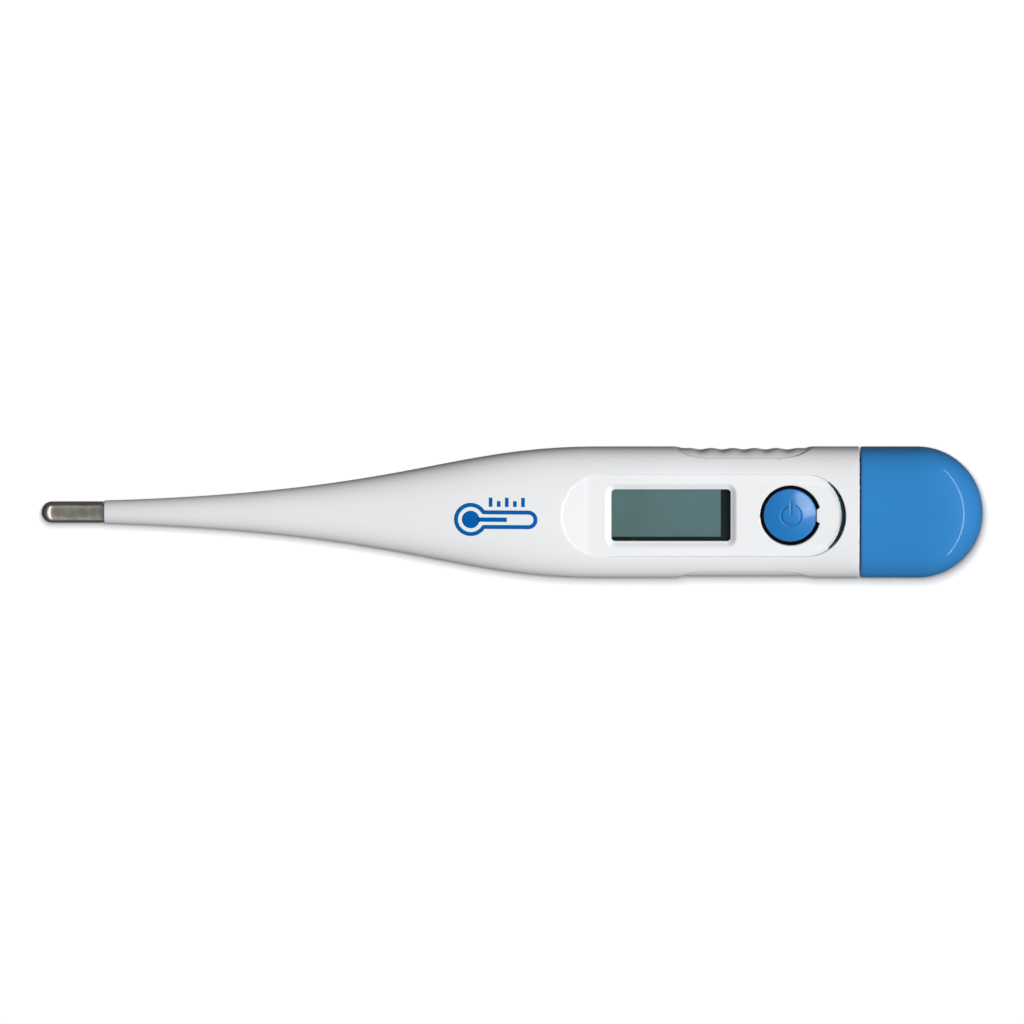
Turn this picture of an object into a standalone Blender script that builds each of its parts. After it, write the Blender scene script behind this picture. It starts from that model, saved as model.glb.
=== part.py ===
"""Pen thermometer with a rear drawer: the stem points to -X, the display faces +Z, and it rests on z = 0."""

import math

import bmesh
import bpy
import numpy as np

# All sizes are in millimetres, and meshes are scaled to metres as they are made.
MM = 0.001

# Overall shape
LENGTH = 128.0
TIP_X = -LENGTH / 2
END_X = LENGTH / 2
HALF_WIDTH = 8.9
TOP_Z = 10.4
AXIS_Z = 5.2
HALF_TOP = TOP_Z - AXIS_Z
BELLY = 1.04
STEM_POWER = 2.0
BODY_POWER = 2.7
SECTION_POINTS = 40

# Outline of the shell: each curve is one cubic, from the stem's mouth to the full body
STEM_X = -55.5
STEM_RADIUS = 1.56
WIDTH_CURVE = ((STEM_X, STEM_RADIUS), (-13.5, 2.82), (-9.1, HALF_WIDTH), (11.9, HALF_WIDTH))
HEIGHT_CURVE = ((STEM_X, STEM_RADIUS), (-20.0, 2.3), (-6.0, HALF_TOP), (24.0, HALF_TOP))
JOINT_X = 47.2
WALL = 1.3

# Finger grips: a lens-shaped recess on each side, with finger waves at mid height on the +Y side
GRIP_START = 22.1
GRIP_END = 40.8
GRIP_HALF_HEIGHT = 3.5
GRIP_DEPTH = 0.22
GRIP_EDGE = 0.1
GRIP_WAVE = 0.3
GRIP_PITCH = 2.95
GRIP_FIRST_VALLEY = 25.6
GRIP_VALLEYS = 5
GRIP_WAVE_FULL = 1.0
GRIP_WAVE_END = 2.6

# Display recess, window and lens
PANEL_Z = 9.6
PANEL_START = 6.7
PANEL_END = 45.35
PANEL_HALF_WIDTH = 5.6
PANEL_END_LENGTH = 5.3
RAMP_END = 10.7
RAMP_RISE = 0.36
CRESCENT_WIDTH = 0.5
CRESCENT_Z = 9.15
CRESCENT_SWEEP = math.radians(60)
WALL_Z = 8.55
WINDOW_X = 21.6
WINDOW_LENGTH = 16.2
WINDOW_WIDTH = 7.08
WINDOW_CORNER = 0.6
BEVEL_WIDTH = 0.8
BEVEL_Z = 9.1
LENS_Z = 9.05
LENS_LENGTH = 18.0
LENS_WIDTH = 8.8
LENS_BOTTOM = 7.75
FIT = 0.05

# Button
BUTTON_X = 37.8
BUTTON_RADIUS = 3.6
BUTTON_HOLE = 4.1
BUTTON_TOP = 9.85
BUTTON_RIM = 9.35
BUTTON_FLANGE = 4.6
FLANGE_LOW = 8.35
FLANGE_HIGH = 8.85
PLUNGER_RADIUS = 1.9
PLUNGER_LOW = 8.0
KEY_WIDTH = 2.0
KEY_FACE_X = 41.3
SYMBOL_RADIUS = 1.35
SYMBOL_LINE = 0.36
SYMBOL_DEPTH = 0.2

# Spigot, its opening and its gasket
SPIGOT_END = 52.0
SPIGOT_HALF_WIDTH = 7.5
SPIGOT_HALF_HEIGHT = 3.75
SPIGOT_POWER = 3.2
MOUTH_HALF_WIDTH = 6.1
MOUTH_HALF_HEIGHT = 2.85
MOUTH_CORNER = 1.1
GASKET_X = 48.7
GASKET_LENGTH = 0.8
GASKET_DEPTH = 0.4

# Cover
COVER_START = 47.4
COVER_BORE_GAP = 0.1
COVER_TURN_X = END_X - HALF_WIDTH

# Probe tip
TIP_RADIUS = 1.45
TIP_WALL = 0.2
NECK_RADIUS = 1.1
NECK_END = -52.0
LEAD_BORE = 0.75
PASSAGE_RADIUS = 0.55
CAVITY_START = -24.0
CAVITY_END = 45.6

# Drawer
CHASSIS_START = 6.0
CHASSIS_END = 55.0
CHASSIS_HALF_WIDTH = 5.85
CHASSIS_LOW = 2.45
CHASSIS_HIGH = 7.5
CHASSIS_CORNER = 1.0
TRAY_HIGH = 6.0
TRAY_FLOOR = 3.15
TRAY_WALL = 0.65
TRAY_END = 42.8
NOTCH_HALF_WIDTH = 1.6
BOARD_START = 9.0
BOARD_END = 42.3
BOARD_HALF_WIDTH = 5.1
BOARD_LOW = 3.6
BOARD_HIGH = 4.4
CELL_X = 47.0
CELL_RADIUS = 3.95
CELL_HEIGHT = 3.6
CELL_LOW = 2.95
GLASS_START = 11.8
GLASS_END = 30.4

# Rails and ribs inside the shell that guide the drawer
RAIL_START = CHASSIS_START + 3
RAIL_INNER = 6.0
RAIL_OUTER = 7.8
RAIL_LOW = 4.0
RAIL_HIGH = 6.4
RIB_Y = 3.9
RIB_HALF_WIDTH = 0.4
RIB_LOW = 0.9
RIB_GAP = 0.15

# Display stack on the board, as lowest and highest heights
DISPLAY_MARGIN = 0.4
FRONT_GLASS_HALF_WIDTH = 4.6
FRONT_GLASS_HEIGHTS = (6.45, 7.0)
POLARISER_HALF_WIDTH = 4.3
POLARISER_HEIGHTS = (7.03, 7.13)
REAR_GLASS_HALF_WIDTH = 3.3
REAR_GLASS_HEIGHTS = (5.85, 6.4)
REFLECTOR_HALF_WIDTH = 3.1
REFLECTOR_HEIGHTS = (5.65, 5.8)
ELASTOMER_INNER = 3.5
ELASTOMER_OUTER = 4.5
FRAME_MARGIN = 0.8
FRAME_HALF_WIDTH = 5.05
FRAME_CEILING = 7.2
SIGHT_END = 28.5
SIGHT_LOW_Y = -3.15
SIGHT_HIGH_Y = 3.4

# Pieces on the board
CHIP_X = 19.5
CHIP_RADIUS = 2.6
CHIP_HEIGHT = 1.0
RESISTOR_X = (31.6, 33.2)
RESISTOR_Y = 1.4
RESISTOR_HALF_WIDTH = 0.4
RESISTOR_TOP = 4.9
CAPACITOR_LOW = (31.8, 3.2)
CAPACITOR_HIGH = (33.4, 4.2)
CAPACITOR_TOP = 5.2
SOLDER_RADIUS = 0.42
SOLDER_HEIGHT = 0.4

# Silicone switch pad under the button, and its carbon pill
PAD_RADIUS = 3.1
PAD_NECK_RADIUS = 1.8
PILL_RADIUS = 1.1
PILL_HEIGHTS = (5.7, 6.15)

# Battery contacts of 0.2 mm strip, and the buzzer below the board
STRIP = 0.2
STRIP_HALF_WIDTH = 1.2
STRIP_REACH = (6.4, 2.6)
ARM_START = 41.95
ARM_END = 48.5
ARM_HALF_WIDTH = 1.5
BUZZER_X = 24.0
BUZZER_RADIUS = 4.4
BUZZER_HEIGHTS = (3.2, 3.35)
CERAMIC_RADIUS = 3.1
CERAMIC_HEIGHTS = (3.38, 3.53)

# Leads
LEAD_RADIUS = 0.12
LEAD_SPACING = 0.28
LEAD_START = -61.3
LEAD_END = 10.0
LEAD_WAVE = 1.5
LEAD_WAVELENGTH = 8.0
LEAD_POINTS = 78


def material(name, color, roughness, metallic=0.0):
    made = bpy.data.materials.new(name)
    made.use_nodes = True
    shader = made.node_tree.nodes["Principled BSDF"]
    shader.inputs["Base Color"].default_value = (*color, 1.0)
    shader.inputs["Roughness"].default_value = roughness
    shader.inputs["Metallic"].default_value = metallic
    made.diffuse_color = (*color, 1.0)
    return made


def add_object(name, mesh_data, finish=None, smooth_angle=35):
    mesh = bpy.data.meshes.new(name)
    mesh_data.to_mesh(mesh)
    mesh_data.free()
    mesh.shade_smooth()
    mesh.set_sharp_from_angle(angle=math.radians(smooth_angle))
    obj = bpy.data.objects.new(name, mesh)
    bpy.context.scene.collection.objects.link(obj)
    if finish is None:
        obj.hide_render = True
        obj.display_type = "WIRE"
    else:
        mesh.materials.append(finish)
    return obj


def loft(name, rings, finish=None):
    """Closed solid through rings of equal length, given as an array of rings, points and coordinates."""
    rings = np.asarray(rings, float) * MM
    mesh_data = bmesh.new()
    rows = [[mesh_data.verts.new(point) for point in ring] for ring in rings]
    count = len(rows[0])
    for low, high in zip(rows, rows[1:]):
        for k in range(count):
            following = (k + 1) % count
            mesh_data.faces.new((low[k], low[following], high[following], high[k]))
    mesh_data.faces.new(rows[0])
    mesh_data.faces.new(rows[-1])
    bmesh.ops.remove_doubles(mesh_data, verts=mesh_data.verts, dist=1e-7)
    bmesh.ops.dissolve_degenerate(mesh_data, edges=mesh_data.edges, dist=1e-8)
    bmesh.ops.recalc_face_normals(mesh_data, faces=mesh_data.faces)
    return add_object(name, mesh_data, finish)


def prism(name, outline, low, high, finish=None):
    """Extrusion of an XY outline between two heights."""
    levels = [[(x, y, z) for x, y in outline] for z in (low, high)]
    return loft(name, levels, finish)


def bar(name, outline, start, end, finish=None):
    """Extrusion of a YZ outline along X."""
    sections = [[(x, y, z) for y, z in outline] for x in (start, end)]
    return loft(name, sections, finish)


def block(name, low, high, finish=None):
    outline = [(low[0], low[1]), (high[0], low[1]), (high[0], high[1]), (low[0], high[1])]
    return prism(name, outline, low[2], high[2], finish)


def circle(x, y, radius, count=32):
    angles = [2 * math.pi * k / count for k in range(count)]
    return [(x + radius * math.cos(a), y + radius * math.sin(a)) for a in angles]


def disc(name, x, y, radius, low, high, finish=None, count=32):
    return prism(name, circle(x, y, radius, count), low, high, finish)


def rounded_rectangle(x, y, length, width, corner, steps=5):
    """Outline with four quarter circles, anticlockwise."""
    points = []
    for quarter in range(4):
        side_x = 1 if quarter in (0, 3) else -1
        side_y = 1 if quarter in (0, 1) else -1
        centre_x = x + side_x * (length / 2 - corner)
        centre_y = y + side_y * (width / 2 - corner)
        for step in range(steps + 1):
            angle = math.pi / 2 * (quarter + step / steps)
            points.append((centre_x + corner * math.cos(angle), centre_y + corner * math.sin(angle)))
    return points


def turned(name, profile, x=0.0, y=0.0, z=0.0, axis="Z", finish=None, count=32):
    """Closed body of revolution: the profile is radius and distance along the axis."""
    rings = []
    for radius, along in profile:
        ring = []
        for k in range(count):
            a = 2 * math.pi * k / count
            if axis == "Z":
                ring.append((x + radius * math.cos(a), y + radius * math.sin(a), z + along))
            else:
                ring.append((x + along, y + radius * math.cos(a), z + radius * math.sin(a)))
        rings.append(ring)
    return loft(name, rings, finish)


def combine(target, other, operation):
    """Adds, removes or keeps another solid, which stays in the file as a hidden helper."""
    other.hide_render = True
    other.display_type = "WIRE"
    modifier = target.modifiers.new(other.name, "BOOLEAN")
    modifier.operation = operation
    modifier.object = other
    modifier.solver = "EXACT"
    return target


def cut(target, *cutters):
    for cutter in cutters:
        combine(target, cutter, "DIFFERENCE")
    return target


def unite(target, *others):
    for other in others:
        combine(target, other, "UNION")
    return target


def cubic(curve, share):
    a, b, c, d = (np.array(point) for point in curve)
    rest = 1 - share
    return rest**3 * a + 3 * rest**2 * share * b + 3 * rest * share**2 * c + share**3 * d


def curve_height(curve, x):
    """Second coordinate of a cubic outline at x, constant past its ends."""
    samples = np.array([cubic(curve, share) for share in np.linspace(0, 1, 201)])
    return float(np.interp(x, samples[:, 0], samples[:, 1]))


def half_width(x):
    return curve_height(WIDTH_CURVE, x)


def half_height(x):
    return curve_height(HEIGHT_CURVE, x)


def smooth_step(value):
    share = min(max(value, 0.0), 1.0)
    return share * share * (3 - 2 * share)


def squircle(width, top, bottom, power, count=SECTION_POINTS):
    """Section |y/width|^power + |z/height|^power = 1, as y and z about the axis."""
    points = []
    for k in range(count):
        angle = 2 * math.pi * k / count
        c, s = math.cos(angle), math.sin(angle)
        height = top if s > 0 else bottom
        y = width * math.copysign(abs(c) ** (2 / power), c)
        z = height * math.copysign(abs(s) ** (2 / power), s)
        points.append((y, z))
    return points


def grip_depth(x, side, height):
    """Inward depth of the lens-shaped grip: plain at -Y, with finger waves at +Y."""
    middle = (GRIP_START + GRIP_END) / 2
    reach = abs(x - middle) / ((GRIP_END - GRIP_START) / 2)
    lens = reach**6 + (height / GRIP_HALF_HEIGHT) ** 2
    if lens >= 1.0:
        return 0.0
    edge = smooth_step((1 - lens) / GRIP_EDGE)
    depth = GRIP_DEPTH * edge
    last_valley = GRIP_FIRST_VALLEY + (GRIP_VALLEYS - 1) * GRIP_PITCH
    in_waves = GRIP_FIRST_VALLEY - GRIP_PITCH / 2 <= x <= last_valley + GRIP_PITCH / 2
    if side < 0 or not in_waves:
        return depth
    phase = 2 * math.pi * (x - GRIP_FIRST_VALLEY) / GRIP_PITCH
    fade = 1 - smooth_step((abs(height) - GRIP_WAVE_FULL) / (GRIP_WAVE_END - GRIP_WAVE_FULL))
    return depth + GRIP_WAVE * (1 + math.cos(phase)) / 2 * edge * fade


def shell_section(x):
    """Outer section of the shell at x, flat where it meets the table."""
    width = half_width(x)
    height = half_height(x)
    fullness = (width - STEM_RADIUS) / (HALF_WIDTH - STEM_RADIUS)
    power = STEM_POWER + (BODY_POWER - STEM_POWER) * fullness
    belly = height * (1 + (BELLY - 1) * fullness)
    ring = []
    for y, z in squircle(width, height, belly, power):
        side = math.copysign(1, y)
        y -= side * grip_depth(x, side, z)
        ring.append((x, y, max(AXIS_Z + z, 0.0)))
    return ring


def spigot_section(x, inset=0.0):
    outline = squircle(SPIGOT_HALF_WIDTH - inset, SPIGOT_HALF_HEIGHT - inset,
                       SPIGOT_HALF_HEIGHT - inset, SPIGOT_POWER)
    return [(x, y, AXIS_Z + z) for y, z in outline]


def cavity_section(x):
    """Inside of the shell: the outer section less the wall, never above the display wall."""
    width = half_width(x) - WALL - 0.1
    top = min(half_height(x) - WALL, WALL_Z - AXIS_Z)
    bottom = min(half_height(x) - WALL, AXIS_Z - WALL)
    return [(x, y, AXIS_Z + z) for y, z in squircle(width, top, bottom, 3.0, 28)]


def panel_outline(steps=12):
    """Recess outline: a long quarter-ellipse pair at each end and straight sides."""
    points = []
    for step in range(steps + 1):
        angle = -math.pi / 2 + math.pi * step / steps
        x = PANEL_END - PANEL_END_LENGTH + PANEL_END_LENGTH * math.cos(angle)
        points.append((x, PANEL_HALF_WIDTH * math.sin(angle)))
    for step in range(steps + 1):
        angle = math.pi / 2 + math.pi * step / steps
        x = PANEL_START + PANEL_END_LENGTH + PANEL_END_LENGTH * math.cos(angle)
        points.append((x, PANEL_HALF_WIDTH * math.sin(angle)))
    return points


def recess_cutter():
    """Recess with a level floor and, under its front end, a ramp that rises almost to the skin."""
    recess = prism("panel_recess", panel_outline(), PANEL_Z, TOP_Z + 1)
    start = PANEL_START - 1
    high = PANEL_Z + RAMP_RISE * (RAMP_END - start) / (RAMP_END - PANEL_START)
    side = PANEL_HALF_WIDTH + 1
    profile = [(start, PANEL_Z - 1), (RAMP_END, PANEL_Z - 1), (RAMP_END, PANEL_Z), (start, high)]
    ramp = loft("front_ramp", [[(x, y, z) for x, z in profile] for y in (-side, side)])
    return cut(recess, ramp)


def crescent_cutter():
    """Groove along the rear end of the recess, widest in the middle and pointed at its ends."""
    middle = PANEL_END - PANEL_END_LENGTH
    outer, inner = [], []
    for angle in np.linspace(-CRESCENT_SWEEP, CRESCENT_SWEEP, 11):
        x = middle + PANEL_END_LENGTH * math.cos(angle) - 0.03
        y = PANEL_HALF_WIDTH * math.sin(angle)
        outer.append((x, y))
        inner.append((x - CRESCENT_WIDTH * (1 - (angle / CRESCENT_SWEEP) ** 2), y))
    return prism("rear_crescent", outer + inner[-2:0:-1], CRESCENT_Z, PANEL_Z + 0.1)


def window_outline(grow=0.0, steps=5):
    return rounded_rectangle(WINDOW_X, 0, WINDOW_LENGTH + 2 * grow, WINDOW_WIDTH + 2 * grow,
                             WINDOW_CORNER + grow, steps)


def shell_stations():
    """Section places: close together only where the grip waves are."""
    stem = [STEM_X + (CAVITY_START - STEM_X) * k / 5 for k in range(5)]
    flank = [CAVITY_START + (GRIP_START - 0.1 - CAVITY_START) * k / 11 for k in range(12)]
    half_waves = 2 * GRIP_VALLEYS
    first = GRIP_FIRST_VALLEY - GRIP_PITCH / 2
    waves = [first + GRIP_PITCH / 2 * k for k in range(half_waves + 1)]
    rear = [GRIP_END - 0.5, GRIP_END + 0.1, (GRIP_END + JOINT_X) / 2, JOINT_X]
    return stem + flank + [GRIP_START + 0.6] + waves + rear


def make_shell(finish):
    rings = [shell_section(x) for x in shell_stations()]
    rings += [spigot_section(JOINT_X), spigot_section(SPIGOT_END)]
    shell = loft("body_shell", rings, finish)
    socket_start = STEM_X - 1
    socket = turned("probe_socket", [(NECK_RADIUS + FIT, socket_start), (NECK_RADIUS + FIT, NECK_END),
                                     (LEAD_BORE, NECK_END), (LEAD_BORE, CAVITY_START + 1)],
                    z=AXIS_Z, axis="X", count=20)
    cavity = loft("inner_cavity", [cavity_section(x) for x in np.linspace(CAVITY_START, CAVITY_END, 12)])
    mouth_outline = rounded_rectangle(0, AXIS_Z, 2 * MOUTH_HALF_WIDTH, 2 * MOUTH_HALF_HEIGHT, MOUTH_CORNER, 3)
    mouth = bar("drawer_mouth", mouth_outline, CAVITY_END - 1, SPIGOT_END + 1)
    panel = recess_cutter()
    crescent = crescent_cutter()
    opening = prism("window_opening", window_outline(), LENS_BOTTOM - 0.1, TOP_Z)
    funnel_rings = [[(x, y, z) for x, y in window_outline(grow)]
                    for grow, z in ((0.0, BEVEL_Z), (BEVEL_WIDTH, PANEL_Z),
                                    (BEVEL_WIDTH, TOP_Z))]
    funnel = loft("window_bevel", funnel_rings)
    seat = block("lens_seat", (WINDOW_X - LENS_LENGTH / 2 - FIT, -LENS_WIDTH / 2 - FIT, LENS_BOTTOM - 0.1),
                 (WINDOW_X + LENS_LENGTH / 2 + FIT, LENS_WIDTH / 2 + FIT, WALL_Z))
    hole = disc("button_hole", BUTTON_X, 0, BUTTON_HOLE, WALL_Z - 1, TOP_Z + 1)
    flange_room = disc("flange_room", BUTTON_X, 0, BUTTON_FLANGE + 0.2, LENS_BOTTOM - 0.1, FLANGE_HIGH + 0.1)
    groove_outer = loft("groove_outer", [spigot_section(GASKET_X - FIT, -1.0),
                                         spigot_section(GASKET_X + GASKET_LENGTH + FIT, -1.0)])
    groove_core = loft("groove_core", [spigot_section(GASKET_X - 1, GASKET_DEPTH),
                                       spigot_section(GASKET_X + GASKET_LENGTH + 1, GASKET_DEPTH)])
    cut(groove_outer, groove_core)
    cut(shell, socket, cavity, mouth, panel, crescent, opening, funnel, seat, hole, flange_room, groove_outer)
    for side, label in ((1, "left"), (-1, "right")):
        low, high = sorted((side * RAIL_INNER, side * RAIL_OUTER))
        rail = block(f"guide_rail_{label}", (RAIL_START, low, RAIL_LOW), (CAVITY_END + 0.5, high, RAIL_HIGH))
        rib = block(f"floor_rib_{label}", (RAIL_START, side * RIB_Y - RIB_HALF_WIDTH, RIB_LOW),
                    (CAVITY_END + 0.5, side * RIB_Y + RIB_HALF_WIDTH, CHASSIS_LOW - RIB_GAP))
        unite(shell, rail, rib)
    key = block("key_tab", (KEY_FACE_X + FIT, -KEY_WIDTH / 2, FLANGE_HIGH + 0.1),
                (BUTTON_X + BUTTON_HOLE + 0.3, KEY_WIDTH / 2, PANEL_Z))
    return unite(shell, key)


def make_window(finish):
    plate = prism("display_window", rounded_rectangle(WINDOW_X, 0, LENS_LENGTH, LENS_WIDTH, 0.6, 2),
                  LENS_BOTTOM, WALL_Z - FIT, finish)
    boss = prism("window_boss", window_outline(-2 * FIT), LENS_BOTTOM + 0.2, LENS_Z)
    return unite(plate, boss)


def make_probe(finishes):
    round_end = [(TIP_RADIUS * math.sin(a), TIP_X + TIP_RADIUS * (1 - math.cos(a)))
                 for a in np.linspace(0.02, math.pi / 2, 8)]
    inner = TIP_RADIUS - TIP_WALL
    inner_end = [(inner * math.sin(a), TIP_X + TIP_RADIUS - inner * math.cos(a))
                 for a in np.linspace(0.02, math.pi / 2, 6)]
    neck_inner = NECK_RADIUS - TIP_WALL
    neck = [(TIP_RADIUS, STEM_X - FIT), (NECK_RADIUS, STEM_X - FIT), (NECK_RADIUS, NECK_END - FIT)]
    outer = round_end + neck
    tip = turned("probe_tip", outer, z=AXIS_Z, axis="X", finish=finishes["steel"], count=24)
    hollow = turned("probe_hollow", inner_end + [(inner, STEM_X - 0.4), (neck_inner, STEM_X - 0.2),
                                                 (neck_inner, NECK_END + 1)],
                    z=AXIS_Z, axis="X", count=24)
    cut(tip, hollow)
    bead_profile = [(0.5 * math.sin(a), -0.75 * math.cos(a)) for a in np.linspace(0.05, math.pi - 0.05, 9)]
    turned("thermistor_bead", bead_profile, x=LEAD_START - 0.85, z=AXIS_Z, axis="X",
           finish=finishes["ceramic"], count=12)
    adhesive = turned("tip_adhesive", [(inner - FIT, LEAD_START + 0.3), (inner - FIT, STEM_X - 0.6)],
                      z=AXIS_Z, axis="X", finish=finishes["resin"], count=20)
    passage = turned("adhesive_passage", [(PASSAGE_RADIUS, LEAD_START - 1), (PASSAGE_RADIUS, STEM_X)],
                     z=AXIS_Z, axis="X", count=16)
    cut(adhesive, passage)


def lead_point(x, side):
    """Centre of a lead: straight in the stem, waved in the hollow, then down to the board."""
    inside = smooth_step((x - CAVITY_START - 2) / 5) * smooth_step((CHASSIS_START - 1 - x) / 5)
    y = side * (LEAD_SPACING + 0.6 * smooth_step((x + 2) / 7))
    wave = LEAD_WAVE * inside * math.sin(2 * math.pi * (x - CAVITY_START) / LEAD_WAVELENGTH)
    board_height = BOARD_HIGH + LEAD_RADIUS + 0.08
    z = AXIS_Z + wave + (board_height - AXIS_Z) * smooth_step((x - 2) / 6)
    return x, y, z


def make_lead(name, side, finish):
    curve = bpy.data.curves.new(name, "CURVE")
    curve.dimensions = "3D"
    curve.bevel_depth = LEAD_RADIUS * MM
    curve.bevel_resolution = 1
    curve.use_fill_caps = True
    spline = curve.splines.new("POLY")
    straight = np.linspace(LEAD_START, CAVITY_START + 2, 8)
    waved = np.linspace(CAVITY_START + 2, LEAD_END, LEAD_POINTS - 7)[1:]
    places = [*straight, *waved]
    spline.points.add(len(places) - 1)
    for point, x in zip(spline.points, places):
        point.co = (*(value * MM for value in lead_point(x, side)), 1.0)
    curve.materials.append(finish)
    lead = bpy.data.objects.new(name, curve)
    bpy.context.scene.collection.objects.link(lead)
    return lead


def make_gasket(finish):
    start, end = GASKET_X, GASKET_X + GASKET_LENGTH
    gasket = loft("cover_gasket", [spigot_section(start, -FIT), spigot_section(end, -FIT)], finish)
    core = loft("gasket_core", [spigot_section(start - 1, GASKET_DEPTH - FIT),
                                spigot_section(end + 1, GASKET_DEPTH - FIT)])
    return cut(gasket, core)


def make_chassis(finish):
    low, high = CHASSIS_LOW, CHASSIS_HIGH
    outline = rounded_rectangle(0, (low + high) / 2, 2 * CHASSIS_HALF_WIDTH, high - low, CHASSIS_CORNER, 3)
    chassis = bar("chassis", outline, CHASSIS_START, CHASSIS_END, finish)
    tail_x = CHASSIS_END - 1.8
    top = block("chassis_top_room", (CHASSIS_START - 1, -7, TRAY_HIGH), (tail_x, 7, high + 1))
    inside = CHASSIS_HALF_WIDTH - TRAY_WALL
    tray = block("tray_room", (CHASSIS_START + 1, -inside, TRAY_FLOOR), (TRAY_END, inside, high + 1))
    notch = block("lead_notch", (CHASSIS_START - 1, -NOTCH_HALF_WIDTH, BOARD_HIGH - 0.3),
                  (CHASSIS_START + 2, NOTCH_HALF_WIDTH, high + 1))
    pocket = disc("cell_pocket", CELL_X, 0, CELL_RADIUS + 0.1, CELL_LOW - FIT, high + 1)
    slot = block("contact_slot", (CELL_X - 6.6, -1.4, low - 1), (CELL_X + 3.0, 1.4, TRAY_FLOOR + FIT))
    sound = disc("sound_hole", 21.0, 0, 1.5, low - 1, TRAY_FLOOR + 1, count=16)
    pull_slot = block("pull_slot", (tail_x - 1.6, -3.5, low + 1.6), (tail_x - 0.2, 3.5, high + 1))
    cut(chassis, top, tray, notch, pocket, slot, sound, pull_slot)
    for end, x in (("front", 9.6), ("rear", 40.4)):
        ledge = block(f"board_ledge_{end}", (x - 0.5, -inside - 0.2, TRAY_FLOOR - 0.2),
                      (x + 0.5, inside + 0.2, BOARD_LOW - FIT))
        if end == "rear":
            cut(ledge, block("ledge_gap", (x - 1, -1.7, 0), (x + 1, 1.7, high)))
        unite(chassis, ledge)
    return chassis


def make_board(finishes):
    half = BOARD_HALF_WIDTH
    board = block("circuit_board", (BOARD_START, -half, BOARD_LOW), (BOARD_END, half, BOARD_HIGH),
                  finishes["board"])
    corner_notch = block("board_key", (BOARD_START - 1, half - 1.2, 0), (BOARD_START + 1.6, half + 1, 9))
    cut(board, corner_notch)
    base = BOARD_HIGH + FIT
    angles = np.linspace(0, math.pi / 2 - 0.04, 6)
    cover = [(CHIP_RADIUS * math.cos(a), CHIP_HEIGHT * math.sin(a)) for a in angles]
    turned("chip_cover", cover, x=CHIP_X, z=base, finish=finishes["resin_black"], count=20)
    for y, label in ((RESISTOR_Y, "a"), (-RESISTOR_Y, "b")):
        block(f"chip_resistor_{label}", (RESISTOR_X[0], y - RESISTOR_HALF_WIDTH, base),
              (RESISTOR_X[1], y + RESISTOR_HALF_WIDTH, RESISTOR_TOP), finishes["chip"])
    block("chip_capacitor", (*CAPACITOR_LOW, base), (*CAPACITOR_HIGH, CAPACITOR_TOP), finishes["capacitor"])
    dome = [(SOLDER_RADIUS * math.cos(a), SOLDER_HEIGHT * math.sin(a))
            for a in np.linspace(0, math.pi / 2 - 0.05, 4)]
    joint_y = LEAD_SPACING + 0.6
    for y, label in ((joint_y, "a"), (-joint_y, "b")):
        turned(f"lead_solder_joint_{label}", dome, x=LEAD_END + 0.5, y=y, z=base,
               finish=finishes["solder"], count=12)


def layer(name, margin, half_width, heights, finish):
    """One flat layer of the display, as long as the glass less a margin at each end."""
    low, high = heights
    return block(name, (GLASS_START + margin, -half_width, low),
                 (GLASS_END - margin, half_width, high), finish)


def make_display(finishes):
    layer("lcd_front_glass", 0, FRONT_GLASS_HALF_WIDTH, FRONT_GLASS_HEIGHTS, finishes["glass"])
    layer("lcd_polariser", DISPLAY_MARGIN, POLARISER_HALF_WIDTH, POLARISER_HEIGHTS, finishes["lcd"])
    layer("lcd_rear_glass", 0, REAR_GLASS_HALF_WIDTH, REAR_GLASS_HEIGHTS, finishes["glass"])
    layer("lcd_reflector", DISPLAY_MARGIN, REFLECTOR_HALF_WIDTH, REFLECTOR_HEIGHTS, finishes["reflector"])
    strip_top = REAR_GLASS_HEIGHTS[1]
    for side, label in ((1, "left"), (-1, "right")):
        low, high = sorted((side * ELASTOMER_INNER, side * ELASTOMER_OUTER))
        block(f"elastomer_strip_{label}", (GLASS_START + 0.6, low, BOARD_HIGH + FIT),
              (GLASS_END - 0.6, high, strip_top), finishes["elastomer"])
    frame = block("lcd_frame", (GLASS_START - FRAME_MARGIN, -FRAME_HALF_WIDTH, BOARD_HIGH + FIT),
                  (GLASS_END + FRAME_MARGIN, FRAME_HALF_WIDTH, CHASSIS_HIGH), finishes["black"])
    room_y = FRONT_GLASS_HALF_WIDTH + 0.1
    room = block("frame_room", (GLASS_START - 0.1, -room_y, 0), (GLASS_END + 0.1, room_y, FRAME_CEILING))
    sight = block("frame_sight", (GLASS_START + 1.5, SIGHT_LOW_Y, FRONT_GLASS_HEIGHTS[0]),
                  (SIGHT_END, SIGHT_HIGH_Y, CHASSIS_HIGH + 1))
    cut(frame, room, sight)


def make_switch(finishes):
    base = BOARD_HIGH + FIT
    outer = [(PAD_RADIUS, base), (PAD_RADIUS, base + 0.5), (2.3, base + 0.9), (PAD_NECK_RADIUS, 6.4),
             (PAD_NECK_RADIUS, PLUNGER_LOW - FIT)]
    pad = turned("switch_pad", outer, x=BUTTON_X, finish=finishes["silicone"], count=24)
    hollow = turned("pad_hollow", [(2.5, base - 1), (2.5, base + 0.3), (1.4, 6.2)], x=BUTTON_X, count=24)
    cut(pad, hollow)
    disc("switch_contact", BUTTON_X, 0, PILL_RADIUS, *PILL_HEIGHTS, finishes["carbon"], 16)


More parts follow.
